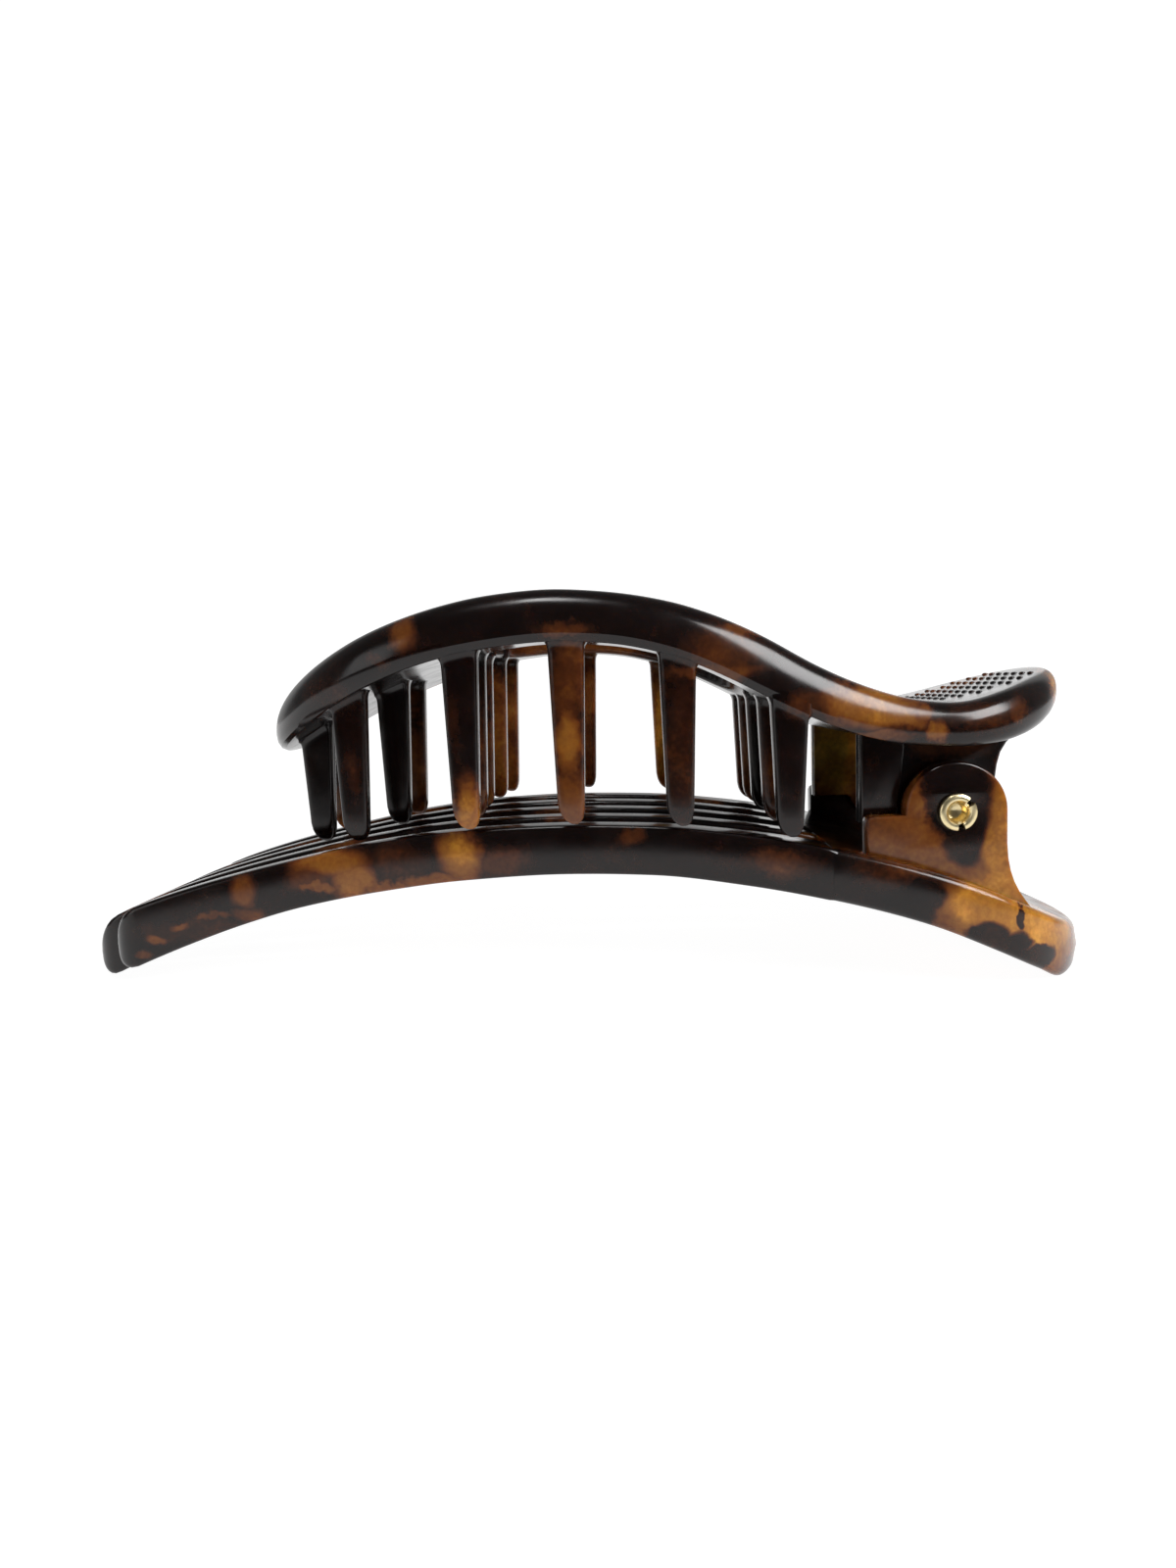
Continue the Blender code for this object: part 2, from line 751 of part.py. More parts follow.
def main():
    clear_scene()
    parts = new_collection("hair_clip")
    cutters = new_collection("hair_clip_cutters")
    tortoiseshell = plastic("tortoiseshell", (0.09, 0.035, 0.012), 0.12)
    brass = metal("brass", (0.78, 0.58, 0.24), 0.25)
    steel = metal("spring_steel", (0.55, 0.55, 0.57), 0.3)
    make_base_arm(tortoiseshell, parts, cutters)
    make_upper_arm(tortoiseshell, parts, cutters)
    make_rivet(brass, parts, cutters)
    make_spring_coil(steel, parts)
    make_spring_end(steel, parts)


main()
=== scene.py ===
"""Looks of the flat claw hair clip: smooth mouldings in mottled tortoiseshell plastic, a brass rivet and
a steel spring, on a pale floor under soft light.

Lengths are in millimetres until a mesh is made. X is measured from near the middle of the opening, as in
the part's own tables, and SHIFT_X moves the clip over its own middle.
"""

import math
from collections import namedtuple

import bmesh
import bpy
import numpy as np
from mathutils import Matrix, Vector


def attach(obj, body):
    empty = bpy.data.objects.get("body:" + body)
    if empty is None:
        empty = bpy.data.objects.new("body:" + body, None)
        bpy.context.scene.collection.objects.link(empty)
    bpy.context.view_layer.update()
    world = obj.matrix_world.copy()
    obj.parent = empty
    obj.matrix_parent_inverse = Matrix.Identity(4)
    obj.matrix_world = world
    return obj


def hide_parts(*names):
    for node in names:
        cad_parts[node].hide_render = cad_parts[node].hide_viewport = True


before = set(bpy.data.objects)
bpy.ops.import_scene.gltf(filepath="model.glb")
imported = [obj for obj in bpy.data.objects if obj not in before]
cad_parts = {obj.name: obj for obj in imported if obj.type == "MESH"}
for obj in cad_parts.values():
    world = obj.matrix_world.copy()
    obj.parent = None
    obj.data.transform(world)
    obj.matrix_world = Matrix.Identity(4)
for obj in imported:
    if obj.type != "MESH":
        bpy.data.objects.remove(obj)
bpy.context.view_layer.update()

MM = 0.001
SHIFT_X = 7.0
MERGE = 0.000005
SHARP_ANGLE = math.radians(28.0)

# Hinge
PIN_X = 33.6
PIN_Z = 18.35
FLANGE_INNER_Y = 16.2
HOLE_RADIUS = 1.6

# Ears, given as distances from the middle plane, and their outlines measured from the pin
BASE_EAR_INNER = 13.9
BASE_EAR_OUTER = 16.1
BASE_EAR_RADIUS = 5.2
UPPER_EAR_INNER = 11.3
UPPER_EAR_OUTER = 13.55
UPPER_EAR_RADIUS = 4.7
EAR_EDGE = 0.3
EAR_EDGE_STEPS = 3
EAR_BOSS_RADIUS = 3.4
EAR_FACE_STEP = 0.05
Offset = namedtuple("Offset", "x z")
BASE_EAR_REAR = [
    Offset(7.9, -11.6),
    Offset(7.6, -10.1),
    Offset(7.1, -9.4),
    Offset(6.5, -8.5),
    Offset(6.0, -7.5),
    Offset(5.6, -6.3),
    Offset(5.35, -5.0),
    Offset(5.22, -3.4),
]
BASE_EAR_FRONT = [
    Offset(-5.2, -0.25),
    Offset(-8.7, -0.3),
    Offset(-9.05, -0.5),
    Offset(-9.2, -0.9),
    Offset(-9.2, -5.6),
]
UPPER_EAR_FRONT = [Offset(-9.2, 10.1), Offset(-9.2, -1.3), Offset(-5.0, -1.3)]
FRONT_PLATE = [
    Offset(-9.2, 10.1),
    Offset(-9.2, -1.3),
    Offset(-5.4, -1.3),
    Offset(-4.6, 6.4),
    Offset(-4.6, 10.1),
]
UPPER_EAR_WEB_OUTER = 12.75
UPPER_EAR_REAR = [
    Offset(5.0, 1.6),
    Offset(5.15, 3.0),
    Offset(5.35, 4.5),
    Offset(5.7, 5.8),
    Offset(6.3, 6.8),
    Offset(7.4, 7.9),
    Offset(7.4, 9.0),
]

# Arcs round the pin: start and end in degrees, and the number of steps
BASE_EAR_ARC = (0.0, 180.0, 45)
UPPER_EAR_ARC = (200.0, 355.0, 30)
WHOLE_CIRCLE = (0.0, 350.0, 35)

# Side profiles
Station = namedtuple("Station", "x top bottom")
BASE_PROFILE = [
    Station(-65.0, 5.2, 0.0),
    Station(-63.2, 6.5, 0.0),
    Station(-60.0, 8.1, 1.3),
    Station(-54.0, 10.5, 3.9),
    Station(-48.0, 12.3, 6.2),
    Station(-42.0, 13.8, 8.2),
    Station(-36.0, 15.1, 9.8),
    Station(-28.0, 16.6, 11.2),
    Station(-18.0, 17.7, 12.3),
    Station(-8.0, 18.0, 12.7),
    Station(2.0, 17.7, 12.4),
    Station(12.0, 16.6, 11.2),
    Station(22.0, 14.8, 9.3),
    Station(30.0, 12.7, 7.1),
    Station(37.0, 10.2, 4.2),
    Station(42.0, 7.8, 1.7),
    Station(45.5, 6.1, 0.0),
    Station(49.0, 4.7, 0.0),
    Station(51.0, 4.1, 0.0),
]
UPPER_PROFILE = [
    Station(-42.0, 30.7, 25.4),
    Station(-38.0, 33.3, 27.5),
    Station(-33.0, 36.1, 30.5),
    Station(-27.0, 38.8, 33.3),
    Station(-20.0, 40.95, 35.6),
    Station(-14.0, 42.1, 36.7),
    Station(-8.0, 42.5, 37.15),
    Station(-2.0, 42.05, 36.8),
    Station(4.0, 40.95, 35.5),
    Station(9.0, 39.3, 33.5),
    Station(14.0, 37.0, 30.9),
    Station(19.0, 34.1, 28.45),
    Station(24.0, 31.8, 26.5),
    Station(29.0, 30.2, 25.45),
    Station(34.0, 29.6, 25.1),
    Station(38.0, 30.35, 25.3),
    Station(42.0, 31.5, 26.15),
    Station(46.0, 32.7, 27.8),
    Station(50.0, 34.1, 29.9),
]
PROFILE_STEP = 0.1
PROFILE_SOFTNESS = 1.3
BASE_BOTTOM_SOFTNESS = 0.5
SOFTNESS_REACH = 3.0

# Base arm in plan
FREE_END_Y = (0.0, 1.75, 5.25, 8.75, 12.25, 15.75)
FREE_END_X = (-65.0, -65.0, -64.2, -62.6, -58.0, -56.6)
BASE_HALF_WIDTH = 15.75
BASE_FLARE_X = -4.0
BASE_END_CURVE_X = 36.0
BASE_END_X = 51.0
BASE_END_HALF_WIDTH = 19.0
OUTER_PRONG = 2
PRONG_PITCH = 7.0
PRONG_HALF_WIDTH = 1.75
PLATE_START_X = 20.6
PRONG_DIVE = 1.2
PRONG_SINK = 0.25
PRONG_EDGE = 0.6
PRONG_EDGE_SHARE = 0.9
PRONG_CORNER_STEPS = 5
TIP_DEPTH = 2.3
TIP_SIDE = 1.45
TIP_RISE = 2.6
PARTING_BULGE = 0.22
PRONG_STEPS = 96
PRONG_BODY_SHARE = 0.97
PRONG_TIP_STEPS = 18
PRONG_TIP_SHARES = (0.028, 0.00002)
PLATE_EDGE = 1.0
PLATE_EDGE_STEPS = 6
PLATE_SIDE_STEPS = 18
PLATE_END_STEPS = 32
PLATE_SPAN_STEPS = 20

# Upper arm in plan
NOSE_X = -42.1
NOSE_CURVE_X = -18.0
UPPER_HALF_WIDTH = 19.5
THUMB_TAPER_X = 4.0
THUMB_CURVE_X = 33.0
THUMB_END_X = 48.9
THUMB_HALF_WIDTH = 17.0
OPENING_X = -1.0
OPENING_HALF_LENGTH = 15.1
OPENING_HALF_WIDTH = 13.0
OPENING_POWER = 4.0
SIDE_ROUND = 2.5
INNER_TOP_ROUND = 1.4
INNER_BOTTOM_ROUND = 0.6
SIDE_POWER = 2.4
BAND_HEIGHT = 0.85
NOSE_BAND_HEIGHT = 2.3
THUMB_BAND_HEIGHT = 1.6
BAND_SLANT = 0.7
BAND_POINTS = ((1.0, 0.0), (0.8, 0.06), (0.55, 0.32), (0.27, 0.65), (0.0, 1.0))
NOSE_BLEND = 28.0
THUMB_BLEND_X = 16.0
THUMB_BLEND = 22.0
CURVE_STEPS = 180
STRAIGHT_STEPS = 120
OPENING_STEPS = 1440
SIDE_STEPS = 18
WALL_TOP_STEPS = 6
WALL_BOTTOM_STEPS = 4
RING_STEPS = 320
SPAN_STEPS = 28

# Teeth
Tooth = namedtuple("Tooth", "x y tip_gap")
TEETH = [
    Tooth(-36.5, 4.45, 0.4),
    Tooth(-29.9, 13.3, 0.4),
    Tooth(-27.3, 4.45, 0.4),
    Tooth(-17.0, 17.6, 0.5),
    Tooth(-17.5, 8.9, 0.7),
    Tooth(-18.0, 0.0, 0.7),
    Tooth(-6.1, 17.6, 0.5),
    Tooth(5.1, 17.6, 0.5),
    Tooth(16.3, 17.2, 0.5),
    Tooth(16.1, 8.9, 0.9),
    Tooth(16.0, 0.0, 0.9),
]
Cut = namedtuple("Cut", "height length thickness shift")
TIP_CUTS = [
    Cut(0.0, 0.3, 0.35, 0.3),
    Cut(0.04, 0.7, 0.7, 0.3),
    Cut(0.16, 1.15, 1.05, 0.28),
    Cut(0.4, 1.7, 1.4, 0.22),
    Cut(0.8, 2.2, 1.65, 0.14),
    Cut(1.4, 2.6, 1.85, 0.06),
    Cut(2.2, 2.8, 1.95, 0.0),
    Cut(3.2, 2.88, 2.0, 0.0),
]
ROOT_CUTS = [
    Cut(-1.2, 3.7, 2.4, 0.0),
    Cut(-0.7, 3.75, 2.45, 0.0),
    Cut(-0.35, 3.9, 2.55, 0.0),
    Cut(-0.1, 4.2, 2.75, 0.0),
    Cut(0.1, 4.5, 2.95, 0.0),
    Cut(1.3, 4.5, 2.95, 0.0),
]
TOOTH_POWER = 4.5
TOOTH_SIDES = 32

# Grip dots on the thumb plate
DOT_RADIUS = 0.36
DOT_SIDES = 12
DOT_PROFILE = [(-0.3, 1.0), (0.02, 1.0), (0.12, 0.85), (0.18, 0.5), (0.2, 0.1)]
DOT_ROWS = 7
DOT_START_X = 35.2
DOT_ROW_PITCH = 1.6
DOT_PITCH = 2.2
DOT_FIELD_HALF_WIDTH = 9.5
DOT_FIELD_TAPER = 0.5

# Spring
WIRE_RADIUS = 0.5
WIRE_SIDES = 14
COIL_RADIUS = 2.1
COIL_PITCH = 1.3
COIL_TURNS = 6
COIL_STEPS = 36
COIL_START_Y = -4.5
COIL_END_TURN = 240.0
COIL_END_STEPS = 24
LEG_REACH_X = 41.0
LEG_GAP = 0.3
LEG_TURN = 8.0

# Camera, from the vanishing points of the photograph: pixels, degrees and millimetres, clipping in metres
IMAGE_LONG_SIDE = 1600
FOCAL_PIXELS = 950.0
VANISH_RIGHT = 40.0
VANISH_UP = 100.0
CAMERA_ROLL = 2.0
CAMERA_PLACE = (0.0, -112.8, 32.45)
SENSOR = 36.0
CLIP_START = 0.01
CLIP_END = 50.0


# Curves through the tables
def smooth_step(value):
    t = min(max(value, 0.0), 1.0)
    return t * t * (3.0 - 2.0 * t)


def slope_between(first, second, column):
    return (getattr(second, column) - getattr(first, column)) / (second.x - first.x)


def slope_at(table, i, column):
    if i == 0:
        return slope_between(table[0], table[1], column)
    if i == len(table) - 1:
        return slope_between(table[-2], table[-1], column)
    before = slope_between(table[i - 1], table[i], column)
    after = slope_between(table[i], table[i + 1], column)
    if before * after <= 0.0:
        return 0.0
    return 2.0 * before * after / (before + after)


def along(table, x, column):
    """Reads a column of a table at x, on a smooth curve through its rows."""
    if x <= table[0].x:
        return getattr(table[0], column)
    for i in range(len(table) - 1):
        here = table[i]
        after = table[i + 1]
        if x <= after.x:
            step = after.x - here.x
            t = (x - here.x) / step
            rise = getattr(after, column) - getattr(here, column)
            start = slope_at(table, i, column) * step
            end = slope_at(table, i + 1, column) * step
            bend = (start - rise) * (1.0 - t) - (end - rise) * t
            return getattr(here, column) + rise * t + bend * t * (1.0 - t)
    return getattr(table[-1], column)


class Profile:
    """A column of a profile table as an even, softened curve, so that reflections run smoothly."""

    def __init__(self, table, column, softness):
        self.xs = np.arange(table[0].x, table[-1].x + PROFILE_STEP, PROFILE_STEP)
        heights = np.array([along(table, x, column) for x in self.xs])
        reach = int(SOFTNESS_REACH * softness / PROFILE_STEP)
        offsets = np.arange(-reach, reach + 1) * PROFILE_STEP
        weights = np.exp(-0.5 * (offsets / softness) ** 2)
        low = 2.0 * heights[0] - heights[reach:0:-1]
        high = 2.0 * heights[-1] - heights[-2 : -reach - 2 : -1]
        padded = np.concatenate([low, heights, high])
        self.heights = np.convolve(padded, weights / weights.sum(), mode="valid")

    def __call__(self, x):
        return float(np.interp(x, self.xs, self.heights))


base_top = Profile(BASE_PROFILE, "top", PROFILE_SOFTNESS)
base_bottom = Profile(BASE_PROFILE, "bottom", BASE_BOTTOM_SOFTNESS)
upper_top = Profile(UPPER_PROFILE, "top", PROFILE_SOFTNESS)
upper_bottom = Profile(UPPER_PROFILE, "bottom", PROFILE_SOFTNESS)


def ellipse_width(x, centre, reach, width):
    part = min(abs(x - centre) / reach, 1.0)
    return width * math.sqrt(1.0 - part * part)


def base_half_width(x):
    if x > BASE_END_CURVE_X:
        return ellipse_width(x, BASE_END_CURVE_X, BASE_END_X - BASE_END_CURVE_X, BASE_END_HALF_WIDTH)
    flare = smooth_step((x - BASE_FLARE_X) / (BASE_END_CURVE_X - BASE_FLARE_X))
    return BASE_HALF_WIDTH + (BASE_END_HALF_WIDTH - BASE_HALF_WIDTH) * flare


def upper_half_width(x):
    taper = smooth_step((x - THUMB_TAPER_X) / (THUMB_CURVE_X - THUMB_TAPER_X))
    return UPPER_HALF_WIDTH - (UPPER_HALF_WIDTH - THUMB_HALF_WIDTH) * taper


def signed_power(value, power):
    """The value raised to a power, with its sign kept."""
    return math.copysign(abs(value) ** power, value)


def circle(radius, count):
    """Points round a circle, measured from its middle."""
    angles = [2.0 * math.pi * k / count for k in range(count)]
    return [(radius * math.cos(angle), radius * math.sin(angle)) for angle in angles]


# Mesh helpers
def add_skin(bm, loops, closed_ring=False):
    """Adds a closed body that joins equal loops of points, with end caps unless the loops form a ring."""
    rings = [[bm.verts.new(Vector((x + SHIFT_X, y, z)) * MM) for x, y, z in loop] for loop in loops]
    size = len(rings[0])
    pairs = list(zip(rings, rings[1:]))
    if closed_ring:
        pairs.append((rings[-1], rings[0]))
    else:
        bm.faces.new(rings[0])
        bm.faces.new(rings[-1])
    for first, second in pairs:
        for i in range(size):
            k = (i + 1) % size
            bm.faces.new((first[i], first[k], second[k], second[i]))


def finished_object(name, bm, material, body, node):
    """Makes the piece, shades it smooth apart from real edges, and lets it stand for the CAD node."""
    bmesh.ops.remove_doubles(bm, verts=bm.verts, dist=MERGE)
    bmesh.ops.dissolve_degenerate(bm, dist=MERGE, edges=bm.edges)
    bmesh.ops.recalc_face_normals(bm, faces=bm.faces)
    mesh = bpy.data.meshes.new(name)
    bm.to_mesh(mesh)
    bm.free()
    mesh.shade_smooth()
    mesh.set_sharp_from_angle(angle=SHARP_ANGLE)
    mesh.materials.append(material)
    obj = bpy.data.objects.new(name, mesh)
    bpy.context.scene.collection.objects.link(obj)
    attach(obj, body)
    if node:
        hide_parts(node)
    return obj


def add_slab(bm, outline, hole_radius, low, high):
    """Adds a plate in XZ with rounded edges between two depths, with a round hole at the pin if asked."""
    low, high = sorted((low, high))
    curve = bpy.data.curves.new("slab", "CURVE")
    curve.dimensions = "2D"
    curve.fill_mode = "BOTH"
    curve.extrude = ((high - low) / 2.0 - EAR_EDGE) * MM
    curve.bevel_depth = EAR_EDGE * MM
    curve.bevel_resolution = EAR_EDGE_STEPS
    curve.offset = -EAR_EDGE * MM
    outlines = [outline]
    if hole_radius:
        outlines.append(arc_round_pin(hole_radius, *WHOLE_CIRCLE))
    for points in outlines:
        spline = curve.splines.new("POLY")
        spline.points.add(len(points) - 1)
        for place, (x, z) in zip(spline.points, points):
            place.co = ((x + SHIFT_X) * MM, z * MM, 0.0, 1.0)
        spline.use_cyclic_u = True
    obj = bpy.data.objects.new("slab", curve)
    bpy.context.scene.collection.objects.link(obj)
    bpy.context.view_layer.update()
    mesh = bpy.data.meshes.new_from_object(obj.evaluated_get(bpy.context.evaluated_depsgraph_get()))
    middle = Matrix.Translation((0.0, (high + low) / 2.0 * MM, 0.0))
    mesh.transform(middle @ Matrix.Rotation(math.pi / 2.0, 4, "X"))
    bm.from_mesh(mesh)
    bpy.data.objects.remove(obj, do_unlink=True)
    bpy.data.curves.remove(curve)
    bpy.data.meshes.remove(mesh)


def from_pin(offsets):
    return [(PIN_X + offset.x, PIN_Z + offset.z) for offset in offsets]


def arc_round_pin(radius, start, end, steps):
    points = []
    for k in range(steps + 1):
        angle = math.radians(start + (end - start) * k / steps)
        points.append((PIN_X + radius * math.cos(angle), PIN_Z + radius * math.sin(angle)))
    return points


# Base arm
def free_end_x(y):
    return float(np.interp(abs(y), FREE_END_Y, FREE_END_X))


def prong_loops(number):
    """Sections of one prong from inside the hinge plate to its rounded tip."""
    side = -1.0 if number < 0 else 1.0
    centre = number * PRONG_PITCH
    root = PLATE_START_X + PRONG_DIVE
    body = np.linspace(0.0, PRONG_BODY_SHARE, PRONG_STEPS)
    tip = 1.0 - np.geomspace(*PRONG_TIP_SHARES, PRONG_TIP_STEPS)
    loops = []
    for s in np.concatenate([body, tip]):
        middle_x = root + (free_end_x(centre) - root) * s
        from_tip = (1.0 - s) * (root - free_end_x(centre))
        left = min(max(1.0 - from_tip / TIP_DEPTH, 0.0), 1.0)
        rounding = 1.0 - math.sqrt(1.0 - left * left)
        sunk = PRONG_SINK * max(middle_x - PLATE_START_X, 0.0)
        narrower = TIP_SIDE * rounding + sunk
        outer = centre + side * PRONG_HALF_WIDTH
        if abs(number) == OUTER_PRONG:
            outer = side * base_half_width(middle_x)
        inner = centre - side * PRONG_HALF_WIDTH
        low_y, high_y = sorted((inner + side * narrower, outer - side * narrower))
        loops.append(prong_section(s, root, low_y, high_y, TIP_RISE * rounding + sunk))
    return loops


def prong_section(s, root, low_y, high_y, lower):
    """A rounded rectangle whose sides bulge slightly at the parting line, half way up."""
    half = (high_y - low_y) / 2.0
    middle = (high_y + low_y) / 2.0
    edge = min(PRONG_EDGE, PRONG_EDGE_SHARE * half)
    points = []
    for side, up, start in ((1, 1, 0), (-1, 1, 90), (-1, -1, 180), (1, -1, 270)):
        for k in range(PRONG_CORNER_STEPS + 1):
            angle = math.radians(start + 90.0 * k / PRONG_CORNER_STEPS)
            y = middle + side * (half - edge) + edge * math.cos(angle)
            y -= side * PARTING_BULGE * abs(math.cos(angle))
            points.append((y, up, edge * (1.0 - abs(math.sin(angle)))))
        if side == -1 and up == 1:
            points.append((low_y, 0, 0.0))
    points.append((high_y, 0, 0.0))
    loop = []
    for y, up, drop in points:
        x = root + (free_end_x(y) - root) * s
        top = base_top(x) - lower
        bottom = base_bottom(x) + lower
        z = (top + bottom) / 2.0
        if up:
            z = top - drop if up > 0 else bottom + drop
        loop.append((x, y, z))
    return loop


def plate_stations():
    """Points of the near half of the hinge plate's outline, each with its inward direction."""
    stations = []
    for x in np.linspace(PLATE_START_X, BASE_END_CURVE_X, PLATE_SIDE_STEPS)[:-1]:
        widening = base_half_width(x + PROFILE_STEP) - base_half_width(x - PROFILE_STEP)
        slope = widening / (2.0 * PROFILE_STEP)
        length = math.hypot(1.0, slope)
        stations.append((x, -base_half_width(x), slope / length, 1.0 / length))
    reach = BASE_END_X - BASE_END_CURVE_X
    for k in range(PLATE_END_STEPS + 1):
        angle = math.pi / 2.0 * k / PLATE_END_STEPS
        c = math.cos(angle)
        s = math.sin(angle)
        nx = -s / reach
        ny = c / BASE_END_HALF_WIDTH
        length = math.hypot(nx, ny)
        x = BASE_END_CURVE_X + reach * s
        stations.append((x, -BASE_END_HALF_WIDTH * c, nx / length, ny / length))
    return stations


def plate_half_section(x, y, nx, ny):
    """Near edge of the hinge plate at one station, from under it to its top."""
    under = []
    over = []
    for k in range(PLATE_EDGE_STEPS + 1):
        angle = math.radians(90.0 * k / PLATE_EDGE_STEPS)
        inward = PLATE_EDGE * (1.0 - math.cos(angle)) + PARTING_BULGE * math.cos(angle)
        fall = PLATE_EDGE * (1.0 - math.sin(angle))
        px = x + nx * inward
        py = min(y + ny * inward, 0.0)
        under.append((px, py, base_bottom(px) + fall))
        over.append((px, py, base_top(px) - fall))
    parting = (x, min(y, 0.0), (base_bottom(x) + base_top(x)) / 2.0)
    return under[::-1] + [parting] + over


def across(first, second, steps, height):
    """Points between two ends, without them, on the given surface."""
    points = []
    for k in range(1, steps):
        x = first[0] + (second[0] - first[0]) * k / steps
        y = first[1] + (second[1] - first[1]) * k / steps
        points.append((x, y, height(x)))
    return points


def hinge_plate_loops():
    loops = []
    for station in plate_stations():
        near = plate_half_section(*station)
        far = [(x, -y, z) for x, y, z in reversed(near)]
        top = across(near[-1], far[0], PLATE_SPAN_STEPS, base_top)
        bottom = across(far[-1], near[0], PLATE_SPAN_STEPS, base_bottom)
        loops.append(near + top + far + bottom)
    return loops


def base_ear_outline():
    points = from_pin(BASE_EAR_REAR)
    points += arc_round_pin(BASE_EAR_RADIUS, *BASE_EAR_ARC)
    return points + from_pin(BASE_EAR_FRONT)


def make_base_arm(material):
    bm = bmesh.new()
    for number in range(-OUTER_PRONG, OUTER_PRONG + 1):
        add_skin(bm, prong_loops(number))
    add_skin(bm, hinge_plate_loops())
    add_slab(bm, base_ear_outline(), HOLE_RADIUS, -BASE_EAR_OUTER, -BASE_EAR_INNER)
    add_slab(bm, base_ear_outline(), HOLE_RADIUS, BASE_EAR_INNER, BASE_EAR_OUTER)
    return finished_object("base_arm_moulding", bm, material, "base", "base_arm")


# Upper arm
def resampled(points, count):
    """Equally spaced points along an open line, with both of its ends."""
    points = np.array(points)
    lengths = np.concatenate([[0.0], np.cumsum(np.linalg.norm(np.diff(points, axis=0), axis=1))])
    targets = np.linspace(0.0, lengths[-1], count)
    return list(zip(np.interp(targets, lengths, points[:, 0]), np.interp(targets, lengths, points[:, 1])))


def full_ring(half):
    """Closes a half outline, which runs from the nose side to the thumb side, by mirroring it in Y."""
    return half + [(x, -y) for x, y in reversed(half[1:-1])]


def outer_half_outline(count):
    points = []
    for k in range(CURVE_STEPS + 1):
        angle = math.radians(90.0 * k / CURVE_STEPS)
        x = NOSE_CURVE_X - (NOSE_CURVE_X - NOSE_X) * math.cos(angle)
        points.append((x, -UPPER_HALF_WIDTH * math.sin(angle)))
    for x in np.linspace(NOSE_CURVE_X, THUMB_CURVE_X, STRAIGHT_STEPS)[1:-1]:
        points.append((x, -upper_half_width(x)))
    for k in range(CURVE_STEPS + 1):
        angle = math.radians(90.0 * k / CURVE_STEPS)
        x = THUMB_CURVE_X + (THUMB_END_X - THUMB_CURVE_X) * math.sin(angle)
        points.append((x, -THUMB_HALF_WIDTH * math.cos(angle)))
    return resampled(points, count)


def opening_half_outline(count):
    points = []
    power = 2.0 / OPENING_POWER
    for k in range(OPENING_STEPS + 1):
        angle = math.radians(180.0 * k / OPENING_STEPS)
        x = OPENING_X - OPENING_HALF_LENGTH * signed_power(math.cos(angle), power)
        points.append((x, -OPENING_HALF_WIDTH * abs(math.sin(angle)) ** power))
    return resampled(points, count)


def inset(ring, distance):
    """Moves a closed outline sideways, to its left for a positive distance."""
    ring = np.array(ring)
    ahead = np.roll(ring, -1, axis=0) - np.roll(ring, 1, axis=0)
    ahead /= np.linalg.norm(ahead, axis=1, keepdims=True)
    return ring + distance * np.stack([-ahead[:, 1], ahead[:, 0]], axis=1)


def end_share(x):
    """How much a place on the plate's outline belongs to the nose and to the thumb end, each 0 to 1."""
    nose = 1.0 - smooth_step((x - NOSE_X) / NOSE_BLEND)
    return nose, smooth_step((x - THUMB_BLEND_X) / THUMB_BLEND)


def between(edge, centre, part):
    """The point that lies part of the way from the edge to the centre of its rounding."""
    return edge[0] + (centre[0] - edge[0]) * part, edge[1] + (centre[1] - edge[1]) * part


def outer_side(edge, centre):
    """Outer side from under the plate to its top: a slanted band, then one convex curve."""
    points = []
    nose, thumb = end_share(edge[0])
    rise = BAND_HEIGHT + (NOSE_BAND_HEIGHT - BAND_HEIGHT) * nose
    rise += (THUMB_BAND_HEIGHT - BAND_HEIGHT) * thumb
    reach = BAND_SLANT * rise / SIDE_ROUND
    for k, (part, up) in enumerate(BAND_POINTS):
        angle = math.radians(90.0 * k / (len(BAND_POINTS) - 1))
        part += (1.0 - math.sin(angle) - part) * (nose + thumb)
        up += (1.0 - math.cos(angle) - up) * (nose + thumb)
        x, y = between(edge, centre, reach * part)
        points.append((x, y, upper_bottom(x) + rise * up))
    for k in range(1, SIDE_STEPS + 1):
        angle = math.radians(90.0 * k / SIDE_STEPS)
        out = math.cos(angle) ** (2.0 / SIDE_POWER) if k < SIDE_STEPS else 0.0
        x, y = between(edge, centre, 1.0 - out)
        low = upper_bottom(x) + rise
        points.append((x, y, low + (upper_top(x) - low) * math.sin(angle) ** (2.0 / SIDE_POWER)))
    return points


def inner_side(edge, top_centre, bottom_centre):
    """Wall of the opening, from the plate's top to its underside."""
    points = []
    for k in range(WALL_TOP_STEPS + 1):
        angle = math.radians(90.0 - 90.0 * k / WALL_TOP_STEPS)
        x, y = between(edge, top_centre, 1.0 - math.cos(angle))
        points.append((x, y, upper_top(x) - INNER_TOP_ROUND * (1.0 - math.sin(angle))))
    for k in range(WALL_BOTTOM_STEPS + 1):
        angle = math.radians(90.0 * k / WALL_BOTTOM_STEPS)
        x, y = between(edge, bottom_centre, 1.0 - math.cos(angle))
        points.append((x, y, upper_bottom(x) + INNER_BOTTOM_ROUND * (1.0 - math.sin(angle))))
    return points


def upper_plate_loops():
    half_count = RING_STEPS // 2 + 1
    outer = full_ring(outer_half_outline(half_count))
    inner = full_ring(opening_half_outline(half_count))
    outer_centres = inset(outer, SIDE_ROUND)
    top_centres = inset(inner, -INNER_TOP_ROUND)
    bottom_centres = inset(inner, -INNER_BOTTOM_ROUND)
    loops = []
    for i in range(len(outer)):
        side = outer_side(outer[i], outer_centres[i])
        wall = inner_side(inner[i], top_centres[i], bottom_centres[i])
        top = across(side[-1], wall[0], SPAN_STEPS, upper_top)
        under = across(wall[-1], side[0], SPAN_STEPS, upper_bottom)
        loops.append(side + top + wall + under)
    return loops


